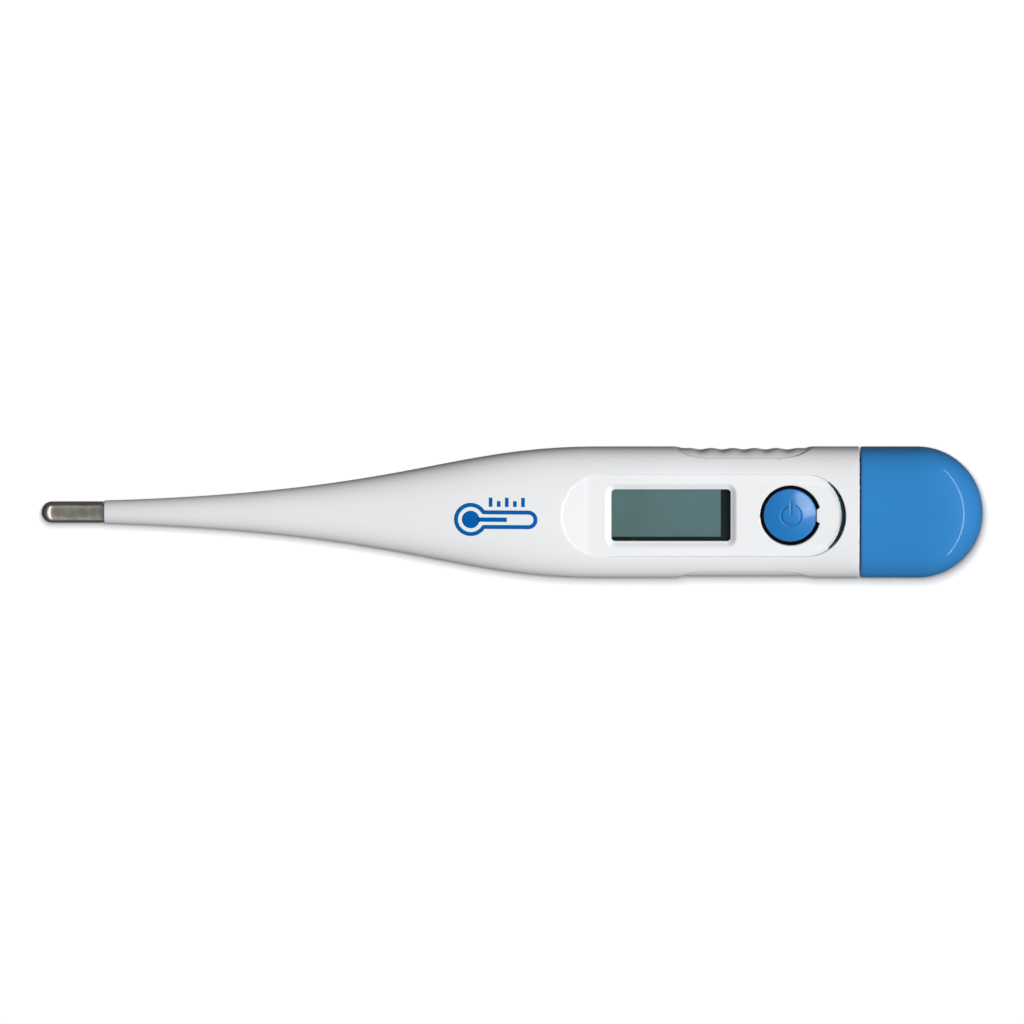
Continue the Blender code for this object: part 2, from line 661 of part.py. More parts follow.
def make_power_parts(finishes):
    disc("battery_cell", CELL_X, 0, CELL_RADIUS, CELL_LOW, CELL_LOW + CELL_HEIGHT, finishes["steel"], 40)
    spring_z = CHASSIS_LOW + 0.1
    strip_start, strip_end = CELL_X - STRIP_REACH[0], CELL_X + STRIP_REACH[1]
    half, board_gap = STRIP_HALF_WIDTH, BOARD_LOW - FIT
    negative = block("battery_contact_negative", (strip_start, -half, spring_z),
                     (strip_end, half, spring_z + STRIP), finishes["brass"])
    riser = block("negative_riser", (strip_start, -half, spring_z), (strip_start + STRIP, half, board_gap))
    pad = block("negative_pad", (strip_start, -half, board_gap - STRIP),
                (strip_start + 0.8, half, board_gap))
    unite(negative, riser, pad)
    arm_low, foot_low, half = CELL_LOW + CELL_HEIGHT + FIT, BOARD_HIGH + FIT, ARM_HALF_WIDTH
    arm = block("battery_contact_positive", (ARM_START, -half, arm_low), (ARM_END, half, arm_low + STRIP),
                finishes["brass"])
    post = block("positive_post", (ARM_START, -half, foot_low), (ARM_START + 0.25, half, arm_low + 0.1))
    foot = block("positive_foot", (ARM_START - 0.75, -half, foot_low),
                 (ARM_START + 0.25, half, foot_low + STRIP))
    unite(arm, post, foot)


def make_buzzer(finishes):
    disc("buzzer_disc", BUZZER_X, 0, BUZZER_RADIUS, *BUZZER_HEIGHTS, finishes["brass"], 32)
    disc("buzzer_ceramic", BUZZER_X, 0, CERAMIC_RADIUS, *CERAMIC_HEIGHTS, finishes["ceramic"], 24)


def cover_section(x, radius, top, bottom, power, points=SECTION_POINTS):
    """Section of a body whose end is its own side profile turned about the vertical line at COVER_TURN_X."""
    past = max(x - COVER_TURN_X, 0.0)
    width = math.sqrt(max(radius**2 - past**2, 0.0))
    ring = []
    for k in range(points):
        angle = 2 * math.pi * k / points
        c, s = math.cos(angle), math.sin(angle)
        y = width * math.copysign(abs(c) ** (2 / power), c)
        reach = min(math.hypot(y, past) / radius, 1.0)
        height = (1 - reach**power) ** (1 / power)
        z = (top if s > 0 else -bottom) * height
        ring.append((x, y, max(AXIS_Z + z, 0.0)))
    return ring


def cover_stations(start, radius, steps):
    turn = [COVER_TURN_X + radius * math.sin(math.pi / 2 * k / steps) for k in range(steps)]
    return [start, *turn, COVER_TURN_X + radius * 0.9995]


def make_cover(finish):
    outer = [cover_section(x, HALF_WIDTH, HALF_TOP, HALF_TOP * BELLY, BODY_POWER)
             for x in cover_stations(COVER_START, HALF_WIDTH, 10)]
    outer[-1] = [(END_X, y, z) for _, y, z in outer[-1]]
    cover = loft("battery_cover", outer, finish)
    bore_width = SPIGOT_HALF_WIDTH + COVER_BORE_GAP
    bore_height = SPIGOT_HALF_HEIGHT + COVER_BORE_GAP
    inner = [cover_section(x, bore_width, bore_height, bore_height, SPIGOT_POWER, 28)
             for x in cover_stations(COVER_START - 1, bore_width, 6)]
    return cut(cover, loft("cover_room", inner))


def make_button(finish):
    edge = 0.25
    dome = [(BUTTON_RADIUS - edge + edge * math.cos(a), BUTTON_RIM - edge + edge * math.sin(a))
            for a in np.linspace(0, math.pi / 2, 4)]
    crown = [(r, BUTTON_RIM + (BUTTON_TOP - BUTTON_RIM) * (1 - (r / BUTTON_RADIUS) ** 2))
             for r in (2.6, 1.7, 0.8, 0.02)]
    profile = [(0.02, PLUNGER_LOW), (PLUNGER_RADIUS, PLUNGER_LOW), (PLUNGER_RADIUS, FLANGE_LOW),
               (BUTTON_FLANGE, FLANGE_LOW), (BUTTON_FLANGE, FLANGE_HIGH), (BUTTON_RADIUS, FLANGE_HIGH)]
    button = turned("power_button", profile + dome + crown, x=BUTTON_X, finish=finish, count=36)
    notch = block("button_notch", (KEY_FACE_X, -KEY_WIDTH / 2 - 0.1, FLANGE_HIGH + FIT),
                  (KEY_FACE_X + 1, KEY_WIDTH / 2 + 0.1, TOP_Z + 1))
    floor = BUTTON_TOP - SYMBOL_DEPTH
    outer, inner = SYMBOL_RADIUS + SYMBOL_LINE / 2, SYMBOL_RADIUS - SYMBOL_LINE / 2
    ring = disc("symbol_ring", BUTTON_X + 0.1, 0, outer, floor, TOP_Z + 1, count=28)
    core = disc("symbol_core", BUTTON_X + 0.1, 0, inner, floor - 1, TOP_Z + 2, count=24)
    gap = block("symbol_gap", (BUTTON_X - 0.4, 0, floor - 1), (BUTTON_X + 0.6, 3, TOP_Z + 2))
    mark = block("symbol_bar", (BUTTON_X - 0.08, 0.1, floor), (BUTTON_X + 0.28, 1.9, TOP_Z + 1))
    cut(ring, core, gap)
    return cut(button, notch, ring, mark)


def group_under(name, place, members):
    """Parents the members to an empty on the joint's axis, keeping them where they are."""
    empty = bpy.data.objects.new(name, None)
    empty.location = [value * MM for value in place]
    bpy.context.scene.collection.objects.link(empty)
    bpy.context.view_layer.update()
    for member in members:
        member.parent = empty
        member.matrix_parent_inverse = empty.matrix_world.inverted()


def make_finishes():
    return {
        "white": material("white_plastic", (0.86, 0.86, 0.85), 0.35),
        "blue": material("blue_plastic", (0.037, 0.238, 0.578), 0.3),
        "key_blue": material("button_blue", (0.02, 0.22, 0.6), 0.3),
        "steel": material("stainless_steel", (0.45, 0.43, 0.4), 0.3, 1.0),
        "glass": material("display_glass", (0.6, 0.68, 0.66), 0.08),
        "clear": material("clear_plastic", (0.8, 0.84, 0.85), 0.08),
        "lcd": material("display_polariser", (0.1, 0.15, 0.16), 0.25),
        "reflector": material("display_reflector", (0.5, 0.55, 0.52), 0.4),
        "elastomer": material("striped_elastomer", (0.75, 0.6, 0.6), 0.6),
        "silicone": material("silicone", (0.5, 0.5, 0.5), 0.6),
        "rubber": material("black_rubber", (0.03, 0.03, 0.03), 0.7),
        "black": material("black_plastic", (0.02, 0.02, 0.02), 0.4),
        "tray": material("grey_plastic", (0.6, 0.6, 0.6), 0.45),
        "board": material("green_board", (0.02, 0.16, 0.06), 0.4),
        "resin_black": material("black_resin", (0.015, 0.015, 0.015), 0.25),
        "resin": material("clear_resin", (0.7, 0.65, 0.5), 0.3),
        "chip": material("chip_black", (0.03, 0.03, 0.03), 0.5),
        "capacitor": material("capacitor_tan", (0.45, 0.3, 0.17), 0.5),
        "solder": material("solder", (0.6, 0.6, 0.6), 0.3, 1.0),
        "carbon": material("carbon_pill", (0.02, 0.02, 0.02), 0.7),
        "ceramic": material("white_ceramic", (0.8, 0.78, 0.74), 0.5),
        "brass": material("brass_sheet", (0.7, 0.5, 0.2), 0.35, 1.0),
        "enamel": material("enamelled_wire", (0.45, 0.12, 0.05), 0.35),
    }


def clear_scene():
    for obj in list(bpy.data.objects):
        bpy.data.objects.remove(obj, do_unlink=True)


DRAWER_NODES = (
    "chassis", "circuit_board", "chip_cover", "chip_resistor_a", "chip_resistor_b", "chip_capacitor",
    "lead_solder_joint_a", "lead_solder_joint_b",
    "lcd_front_glass", "lcd_polariser", "lcd_rear_glass", "lcd_reflector", "lcd_frame",
    "elastomer_strip_left", "elastomer_strip_right", "switch_pad", "switch_contact", "battery_cell",
    "battery_contact_negative", "battery_contact_positive", "buzzer_disc", "buzzer_ceramic",
)

clear_scene()
FINISHES = make_finishes()
make_shell(FINISHES["white"])
make_window(FINISHES["clear"])
make_probe(FINISHES)
make_lead("sensor_lead_a", 1, FINISHES["enamel"])
make_lead("sensor_lead_b", -1, FINISHES["enamel"])
make_gasket(FINISHES["rubber"])
make_chassis(FINISHES["tray"])
make_board(FINISHES)
make_display(FINISHES)
make_switch(FINISHES)
make_power_parts(FINISHES)
make_buzzer(FINISHES)
COVER = make_cover(FINISHES["blue"])
BUTTON = make_button(FINISHES["key_blue"])
group_under("drawer_slide", (CHASSIS_START, 0, AXIS_Z), [bpy.data.objects[name] for name in DRAWER_NODES])
group_under("cover_slide", (COVER_START, 0, AXIS_Z), [COVER])
group_under("button_slide", (BUTTON_X, 0, FLANGE_LOW), [BUTTON])
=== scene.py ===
"""Pen thermometer: the stem points to -X, the display faces +Z, and it rests on the floor at z = 0.

Sizes are in millimetres, and meshes are scaled to metres as they are made.
"""

import math

import bmesh
import bpy
import numpy as np
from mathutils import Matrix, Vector
from mathutils.geometry import tessellate_polygon


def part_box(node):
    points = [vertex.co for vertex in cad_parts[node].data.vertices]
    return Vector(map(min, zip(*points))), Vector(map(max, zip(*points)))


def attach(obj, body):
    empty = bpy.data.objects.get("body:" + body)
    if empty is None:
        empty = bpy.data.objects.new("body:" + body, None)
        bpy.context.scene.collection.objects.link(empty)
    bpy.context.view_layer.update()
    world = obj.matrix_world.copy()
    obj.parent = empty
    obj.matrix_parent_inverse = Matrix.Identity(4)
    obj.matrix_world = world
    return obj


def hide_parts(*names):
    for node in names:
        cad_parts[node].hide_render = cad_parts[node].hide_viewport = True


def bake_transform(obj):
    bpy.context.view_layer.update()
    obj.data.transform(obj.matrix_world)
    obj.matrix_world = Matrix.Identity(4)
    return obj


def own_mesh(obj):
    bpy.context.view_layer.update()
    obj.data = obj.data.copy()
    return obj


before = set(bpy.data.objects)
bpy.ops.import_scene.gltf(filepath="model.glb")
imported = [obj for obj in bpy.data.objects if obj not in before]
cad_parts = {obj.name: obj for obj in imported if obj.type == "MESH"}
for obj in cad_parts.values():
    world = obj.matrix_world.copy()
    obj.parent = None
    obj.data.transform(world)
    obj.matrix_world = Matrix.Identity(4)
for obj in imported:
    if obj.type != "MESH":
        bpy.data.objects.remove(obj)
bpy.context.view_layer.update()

# Body shell: one white moulding from the stem to the joint with the cover. Its wall is about 1.3 mm,
# the display recess, the crescent groove and the finger grips are part of the mould, and the drawer
# slides in from the rear.
MM = 0.001
SHELL_LOW, SHELL_HIGH = (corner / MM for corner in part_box("body_shell"))
HALF_WIDTH = SHELL_HIGH.y
TOP_Z = SHELL_HIGH.z
STEM_X = SHELL_LOW.x
SPIGOT_END = SHELL_HIGH.x
AXIS_Z = 5.2
HALF_TOP = TOP_Z - AXIS_Z
STEM_RADIUS = 1.56
BELLY = 1.04
WIDTH_CURVE = ((STEM_X, STEM_RADIUS), (-13.5, 2.82), (-9.1, HALF_WIDTH), (11.9, HALF_WIDTH))
HEIGHT_CURVE = ((STEM_X, STEM_RADIUS), (-20.0, 2.3), (-6.0, HALF_TOP), (24.0, HALF_TOP))
JOINT_X = 47.2
JOINT_ROUND = 0.1
DECK_START = 4.0
DECK_SHARE = 0.86
DECK_COLUMNS = 48
DECK_ROWS = 140
PANEL_Z = 9.6
CEILING_Z = 8.55


def cubic_outline(curve):
    """Samples of a cubic curve: at share t the four points weigh (1-t)^3, 3(1-t)^2 t, 3(1-t) t^2 and t^3."""
    t = np.linspace(0, 1, 600)[:, None]
    a, b, c, d = (np.array(point) for point in curve)
    return (1 - t) ** 3 * a + 3 * (1 - t) ** 2 * t * b + 3 * (1 - t) * t**2 * c + t**3 * d


WIDTHS = cubic_outline(WIDTH_CURVE)
HEIGHTS = cubic_outline(HEIGHT_CURVE)


def half_width(x):
    return np.interp(x, WIDTHS[:, 0], WIDTHS[:, 1])


def half_height(x):
    return np.interp(x, HEIGHTS[:, 0], HEIGHTS[:, 1])


def ease(value):
    """Eased share: 0 below 0, 1 above 1, and 3v^2 - 2v^3 between."""
    share = np.clip(value, 0, 1)
    return share * share * (3 - 2 * share)


def squircle(x, phi, width, top, bottom, power):
    """Closed section: y is the width times sin(phi), and z follows |y/width|^p + |z/height|^p = 1."""
    rise = np.maximum(1 - np.abs(np.sin(phi)) ** power, 0) ** (1 / power)
    z = np.where(np.cos(phi) >= 0, top, -bottom) * rise
    return np.stack(np.broadcast_arrays(x, width * np.sin(phi), AXIS_Z + z), axis=-1)


def fullness(x):
    """Share of the way from the stem's width to the body's."""
    return (half_width(x) - STEM_RADIUS) / (HALF_WIDTH - STEM_RADIUS)


GRIP_START, GRIP_END = 22.1, 40.8
GRIP_HALF_HEIGHT = 3.45
GRIP_DEPTH = 0.22
GRIP_EDGE = 0.07
LENS_POWER = 6
WAVE_DEPTH = 0.27
WAVE_PITCH = 2.95
WAVE_POWER = 1.3
WAVE_FIRST, WAVE_LAST = 25.6, 37.4
WAVE_FULL, WAVE_END = 0.3, 3.3


def grip_depth(x, side, z):
    """A lens |x'|^6 + z'^2 < 1 with a narrow edge, and on the +Y side five cosine waves across it."""
    along = (x - (GRIP_START + GRIP_END) / 2) / ((GRIP_END - GRIP_START) / 2)
    inside = ease((1 - np.abs(along) ** LENS_POWER - (z / GRIP_HALF_HEIGHT) ** 2) / GRIP_EDGE)
    waved = (x > WAVE_FIRST - WAVE_PITCH / 2) & (x < WAVE_LAST + WAVE_PITCH / 2) & (side > 0)
    wave = (0.5 + 0.5 * np.cos(2 * np.pi * (x - WAVE_FIRST) / WAVE_PITCH)) ** WAVE_POWER
    fade = 1 - ease((np.abs(z) - WAVE_FULL) / (WAVE_END - WAVE_FULL))
    return inside * (GRIP_DEPTH + np.where(waved, WAVE_DEPTH * wave * fade, 0))


def skin(x, phi):
    """Outer surface: the squircle section, less the grips, cut flat where it rests on the table."""
    full = fullness(x)
    height = half_height(x)
    power = 2 + 0.7 * full
    points = squircle(x, phi, half_width(x), height, height * (1 + (BELLY - 1) * full), power)
    side = np.sign(points[..., 1])
    points[..., 1] -= side * grip_depth(points[..., 0], side, points[..., 2] - AXIS_Z)
    points[..., 2] = np.maximum(points[..., 2], 0)
    return points


def skin_height(x, y):
    """Height of the outer surface's upper side over a place in plan."""
    phi = np.arcsin(np.clip(y / half_width(x), -1, 1))
    return skin(x, phi)[..., 2]


BORE_RADIUS = 0.75
SOCKET_RADIUS = 1.15
SOCKET_END = -52.0
HOLLOW_START = -26.0
HOLLOW_END = 45.6
HOLLOW_FLARE = 8.0
SIDE_WALL, TOP_WALL, BOTTOM_WALL = 1.4, 1.2, 1.3


def hollow(x, phi):
    """Inner surface: a fine bore through the stem that opens into the drawer's room, with a flat ceiling."""
    opened = ease((x - HOLLOW_START) / HOLLOW_FLARE)
    bore = np.where(x < SOCKET_END, SOCKET_RADIUS, BORE_RADIUS)
    width = bore + (half_width(x) - SIDE_WALL - bore) * opened
    top = bore + (half_height(x) - TOP_WALL - bore) * opened
    bottom = bore + (half_height(x) - BOTTOM_WALL - bore) * opened
    points = squircle(x, phi, width, top, bottom, 2 + opened)
    points[..., 2] = np.minimum(points[..., 2], CEILING_Z)
    return points


def net(rows, closed=False):
    """Quads between successive rows of points. A closed net joins the end of each row to its start."""
    count, length = rows.shape[:2]
    index = np.arange(count * length).reshape(count, length)
    if closed:
        index = np.concatenate([index, index[:, :1]], axis=1)
    quads = np.stack([index[:-1, :-1], index[:-1, 1:], index[1:, 1:], index[1:, :-1]], axis=-1)
    return rows.reshape(-1, 3), quads.reshape(-1, 4).tolist()


def plate(*loops):
    """Flat filling of an outer loop, less the loops after it."""
    triangles = tessellate_polygon([[Vector(point) for point in loop] for loop in loops])
    return np.concatenate(loops), [list(triangle) for triangle in triangles]


def add_piece(name, patches, material, body, nodes=(), smooth=32):
    """One mesh from patches of points and faces: seams are merged, faces turned out, sharp edges kept."""
    points, faces, start = [], [], 0
    for patch_points, patch_faces in patches:
        points.append(patch_points)
        faces += [[corner + start for corner in face] for face in patch_faces]
        start += len(patch_points)
    mesh = bpy.data.meshes.new(name)
    mesh.from_pydata((np.concatenate(points) * MM).tolist(), [], faces)
    work = bmesh.new()
    work.from_mesh(mesh)
    bmesh.ops.remove_doubles(work, verts=work.verts, dist=1e-6)
    bmesh.ops.recalc_face_normals(work, faces=work.faces)
    work.to_mesh(mesh)
    work.free()
    mesh.shade_smooth()
    mesh.set_sharp_from_angle(angle=math.radians(smooth))
    mesh.materials.append(material)
    piece = bpy.data.objects.new(name, mesh)
    bpy.context.scene.collection.objects.link(piece)
    if body is not None:
        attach(piece, body)
    if nodes:
        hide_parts(*nodes)
    return piece


class Signal:
    """A shader output: arithmetic on it adds Math nodes, and node() adds any other kind of node."""

    def __init__(self, tree, socket):
        self.tree = tree
        self.socket = socket

    def node(self, kind, settings, values, output=0):
        made = self.tree.nodes.new(kind)
        for key, value in settings.items():
            if key != "stops":
                setattr(made, key, value)
        for place, (position, color) in enumerate(settings.get("stops", ())):
            stops = made.color_ramp.elements
            stop = stops[place] if place < 2 else stops.new(position)
            stop.position = position
            stop.color = (*color, 1.0)
        for key, value in values.items():
            if isinstance(value, Signal):
                self.tree.links.new(value.socket, made.inputs[key])
            else:
                made.inputs[key].default_value = value
        return Signal(self.tree, made.outputs[output])

    def math(self, operation, *values):
        return self.node("ShaderNodeMath", {"operation": operation}, dict(enumerate(values)))

    def __add__(self, other):
        return self.math("ADD", self, other)

    __radd__ = __add__

    def __mul__(self, other):
        return self.math("MULTIPLY", self, other)

    __rmul__ = __mul__

    def __sub__(self, other):
        return self.math("SUBTRACT", self, other)

    def __rsub__(self, other):
        return self.math("SUBTRACT", other, self)

    def noise(self, scale, detail=2.0):
        """Even noise about 0.5, with this many cells to the metre."""
        return self.node("ShaderNodeTexNoise", {}, {"Vector": self, "Scale": scale, "Detail": detail})

    def lines(self, scale, detail=2.0):
        """Noise along one measure only, which makes fine parallel lines."""
        values = {"W": self, "Scale": scale, "Detail": detail}
        return self.node("ShaderNodeTexNoise", {"noise_dimensions": "1D"}, values)

    def band(self, low, high):
        """0 below low, 1 above high, smooth between."""
        return self.node(
            "ShaderNodeMapRange",
            {"interpolation_type": "SMOOTHSTEP"},
            {"Value": self, "From Min": low, "From Max": high},
        )

    def mix(self, first, second):
        """Colour between two colours, with this signal as the share of the second."""
        colors = {6: (*first, 1.0) if isinstance(first, tuple) else first,
                  7: (*second, 1.0) if isinstance(second, tuple) else second}
        return self.node("ShaderNodeMix", {"data_type": "RGBA"}, {0: self, **colors}, 2)

    def axes(self):
        """X, Y and Z of a vector."""
        split = self.node("ShaderNodeSeparateXYZ", {}, {"Vector": self})
        return [Signal(self.tree, split.socket.node.outputs[k]) for k in range(3)]


def paint(red, green, blue):
    """Linear colour from display values of 0 to 255."""
    share = np.array([red, green, blue]) / 255
    linear = np.where(share <= 0.04045, share / 12.92, ((share + 0.055) / 1.055) ** 2.4)
    return tuple(float(value) for value in linear)


def new_finish(name, roughness, metallic=0.0, **fixed):
    """A Principled material, its shader's inputs and the object's own coordinates."""
    material = bpy.data.materials.new(name)
    material.use_nodes = True
    tree = material.node_tree
    shader = tree.nodes["Principled BSDF"]
    shader.inputs["Roughness"].default_value = roughness
    shader.inputs["Metallic"].default_value = metallic
    for key, value in fixed.items():
        shader.inputs[key.replace("_", " ")].default_value = value
    place = Signal(tree, tree.nodes.new("ShaderNodeTexCoord").outputs["Object"])
    return material, shader, place


def feed(shader, key, signal):
    signal.tree.links.new(signal.socket, shader.inputs[key])


def roughen(shader, height, distance, strength=1.0):
    """Bump of a height signal, with its full rise in millimetres."""
    values = {"Height": height, "Distance": distance * MM, "Strength": strength}
    feed(shader, "Normal", height.node("ShaderNodeBump", {}, values))


def moulded(name, color, roughness, spread=0.03, grain=7000.0, depth=0.004, **fixed):
    """Moulded plastic: faint clouds in the colour, spark grain from the mould, and slightly uneven gloss."""
    material, shader, place = new_finish(name, roughness, **fixed)
    clouds = place.noise(90.0, 4.0)
    darker = tuple(value * (1 - spread) for value in color)
    feed(shader, "Base Color", clouds.band(0.3, 0.7).mix(darker, color))
    spark = place.noise(grain, 3.0)
    feed(shader, "Roughness", roughness + (spark - 0.5) * 0.1 + (clouds - 0.5) * 0.06)
    roughen(shader, spark, depth)
    return material


WHITE = moulded("white_plastic", (0.80, 0.805, 0.81), 0.38, spread=0.02)

deck_angle = math.asin(DECK_SHARE)
deck_phi = np.linspace(-deck_angle, deck_angle, DECK_COLUMNS + 1)
flank_phi = np.linspace(deck_angle, math.pi - deck_angle, 45)
under_phi = np.linspace(math.pi - deck_angle, math.pi + deck_angle, 33)
rest_phi = np.concatenate([flank_phi[:-1], under_phi, flank_phi[1:] + math.pi])
ring_phi = np.concatenate([deck_phi[:-1], rest_phi[:-1]])
near_socket = np.linspace(STEM_X + 0.1, SOCKET_END + 1, 8)
stem_x = np.concatenate([[STEM_X], near_socket, np.linspace(SOCKET_END + 2, DECK_START, 70)])
DECK_END = JOINT_X - JOINT_ROUND
deck_x = np.linspace(DECK_START, DECK_END, DECK_ROWS + 1)


def inward(x):
    """Place inside that stands for x on the outside: the drawer's room ends before the joint."""
    shortened = (HOLLOW_END - DECK_START) / (DECK_END - DECK_START)
    return np.where(x > DECK_START, DECK_START + (x - DECK_START) * shortened, x)


# The recess: its outline, and the loops of points that carry its step from the floor up to the skin.
# Its front end is a ramp, a fine gutter runs along its sides, and a crescent groove lies at its rear.
PANEL_START, PANEL_END = 6.7, 45.35
PANEL_HALF_WIDTH = 5.6
PANEL_TURN = 5.3
RAMP_END = 10.7
RAMP_RISE = 0.36
RAMP_EASE = 0.25
RAMP_ROWS = 24
STEP_LOOPS = 12
FAN_LOOPS = 7


def recess_outline():
    """Points and outward directions: half an ellipse, a straight side, half an ellipse, a straight side."""
    sweep = np.linspace(0.5 * math.pi, 1.5 * math.pi, DECK_COLUMNS + 1)
    turn = np.stack([PANEL_TURN * np.cos(sweep), PANEL_HALF_WIDTH * np.sin(sweep)], 1)
    side_x = np.linspace(PANEL_START + PANEL_TURN, PANEL_END - PANEL_TURN, DECK_ROWS + 1)
    side = np.stack([side_x, np.full_like(side_x, -PANEL_HALF_WIDTH)], 1)
    front = (PANEL_START + PANEL_TURN, 0) + turn
    rear = (PANEL_END - PANEL_TURN, 0) - turn
    outline = np.concatenate([front[:-1], side[:-1], rear[:-1], side[:0:-1] * (1, -1)])
    tangent = np.roll(outline, -1, 0) - np.roll(outline, 1, 0)
    outward = np.stack([tangent[:, 1], -tangent[:, 0]], 1)
    return outline, outward / np.linalg.norm(outward, axis=1)[:, None]


def floor_height(x):
    """Level floor, with a ramp of even slope and eased foot under the front end."""
    share = np.maximum(0, (RAMP_END - x) / (RAMP_END - PANEL_START))
    return PANEL_Z + RAMP_RISE * share * ease(share / RAMP_EASE)


def deck_border():
    """The deck's outer border in the same order as the recess outline, in plan."""
    front = skin(np.full(DECK_COLUMNS + 1, DECK_START), deck_phi[::-1])[:, :2]
    side = skin(deck_x, np.full_like(deck_x, -deck_angle))[:, :2]
    rear = skin(np.full(DECK_COLUMNS + 1, DECK_END), deck_phi)[:, :2]
    return np.concatenate([front[:-1], side[:-1], rear[:-1], side[:0:-1] * (1, -1)])


outline, outward = recess_outline()
border = deck_border()
SLOPE_FRONT, SLOPE_SIDE = 0.26, 0.1
SHOULDER_FRONT, SHOULDER_SIDE = 0.18, 0.06
GUTTER_WIDTH, GUTTER_DEPTH = 0.2, 0.07
CRESCENT_WIDTH, CRESCENT_DEPTH = 0.5, 0.45
CRESCENT_SWEEP = math.radians(60)
CRESCENT_END = 0.3
STEP_FADE = 3.0
FOOT_ROUND = 0.06
turned_by = np.arcsin(np.clip(outline[:, 1] / PANEL_HALF_WIDTH, -1, 1))
crescent = np.where(outline[:, 0] > PANEL_END - PANEL_TURN, 1 - (turned_by / CRESCENT_SWEEP) ** 2, 0)
crescent = np.maximum(0, crescent)
past_ramp = ease((outline[:, 0] - RAMP_END) / STEP_FADE)
slope = SLOPE_FRONT + (SLOPE_SIDE - SLOPE_FRONT) * past_ramp
shoulder = SHOULDER_FRONT + (SHOULDER_SIDE - SHOULDER_FRONT) * past_ramp
sunk = np.maximum(GUTTER_DEPTH * past_ramp, CRESCENT_DEPTH * ease(crescent / CRESCENT_END))
groove_width = np.maximum(GUTTER_WIDTH, CRESCENT_WIDTH * crescent)
groove_foot = FOOT_ROUND / 2 + np.maximum(0, CRESCENT_WIDTH * crescent - 0.1)


def recess_loop(inset, share, sink):
    """Loop an inset inside the outline, a share of the way up to the skin, sunk by a share of the groove."""
    plan = outline - outward * inset[:, None]
    low = floor_height(plan[:, 0]) - sunk * sink
    return np.column_stack([plan, low + (skin_height(plan[:, 0], plan[:, 1]) - low) * share])


floor_loop = recess_loop(slope + groove_width + FOOT_ROUND, 0, 0)
step_rows = [recess_loop(slope + groove_width, 0, 0.1), recess_loop(slope + groove_foot, 0, 1)]
for share in np.linspace(0, 1, STEP_LOOPS):
    step_rows.append(recess_loop(slope - share * (slope + shoulder), ease(share), 1))
ramp_front = floor_loop[:DECK_COLUMNS + 1]
ramp_foot = ramp_front[:, 0].copy()
ramp_foot[1:-1] = PANEL_START + PANEL_TURN
ramp_rows = []
for share in np.linspace(0, 1, RAMP_ROWS):
    x = ramp_front[:, 0] + (ramp_foot - ramp_front[:, 0]) * share
    ramp_rows.append(np.column_stack([x, ramp_front[:, 1], floor_height(x)]))
level_loop = np.concatenate([ramp_rows[-1], floor_loop[DECK_COLUMNS + 1:]])
fan_rows = []
for share in np.linspace(0, 1, FAN_LOOPS + 1)[1:]:
    plan = (outline + outward * shoulder[:, None]) * (1 - share) + border * share
    fan_rows.append(np.column_stack([plan, skin_height(plan[:, 0], plan[:, 1])]))
deck_rows = np.stack([floor_loop, *step_rows, *fan_rows])


def under_deck(rows):
    """The deck's loops moved to the inner surface: drawn in towards the axis and up to the ceiling."""
    x = inward(rows[..., 0])
    share = np.clip(rows[..., 1] / half_width(rows[..., 0]), -1, 1)
    return hollow(x, np.arcsin(share))


# The window's funnel, from its opening up to the recess floor, flatter at both ends than at the middle
WINDOW_X, WINDOW_Y = 21.6, 0.0
WINDOW_LENGTH, WINDOW_WIDTH = 16.2, 7.08
WINDOW_CORNER = 0.5
FUNNEL_WIDTH = 0.85
FUNNEL_Z = 9.1
FUNNEL_SWELL = 0.16


def rounded_loop(x, y, length, width, corner, grow, z, per_side=24, per_corner=8):
    """Rounded rectangle grown outwards by an even amount, with its straight sides divided evenly."""
    points = []
    for quarter, (sx, sy) in enumerate(((1, 1), (-1, 1), (-1, -1), (1, -1))):
        centre = np.array([x + sx * (length / 2 - corner), y + sy * (width / 2 - corner)])
        angle = np.linspace(quarter, quarter + 1, per_corner + 1) * math.pi / 2
        points.append(centre + (corner + grow) * np.column_stack([np.cos(angle), np.sin(angle)]))
    loop = []
    for quarter in range(4):
        start, end = points[quarter][-1], points[(quarter + 1) % 4][0]
        shares = np.linspace(0, 1, per_side + 1)[1:-1, None]
        loop += [points[quarter], start + (end - start) * shares]
    loop = np.concatenate(loop)
    return np.column_stack([loop, np.full(len(loop), z)])


def window_loop(grow, z):
    return rounded_loop(WINDOW_X, WINDOW_Y, WINDOW_LENGTH, WINDOW_WIDTH, WINDOW_CORNER, grow, z)


funnel = [window_loop(0, CEILING_Z), window_loop(0, FUNNEL_Z - 0.06), window_loop(0.02, FUNNEL_Z)]
for share in np.linspace(0.08, 1, 10):
    rise = share - FUNNEL_SWELL * math.sin(2 * math.pi * share) / math.pi
    funnel.append(window_loop(FUNNEL_WIDTH * share, FUNNEL_Z + (PANEL_Z - FUNNEL_Z) * rise))
funnel.append(window_loop(FUNNEL_WIDTH + FOOT_ROUND, PANEL_Z))

# The button's hole, with a tab at +X that keys the button
BUTTON_X = float(sum(corner.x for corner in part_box("power_button")) / 2 / MM)
HOLE_RADIUS = 4.1
HOLE_ROUND = 0.18
TAB_HALF_WIDTH = 1.0
TAB_FACE = 3.55


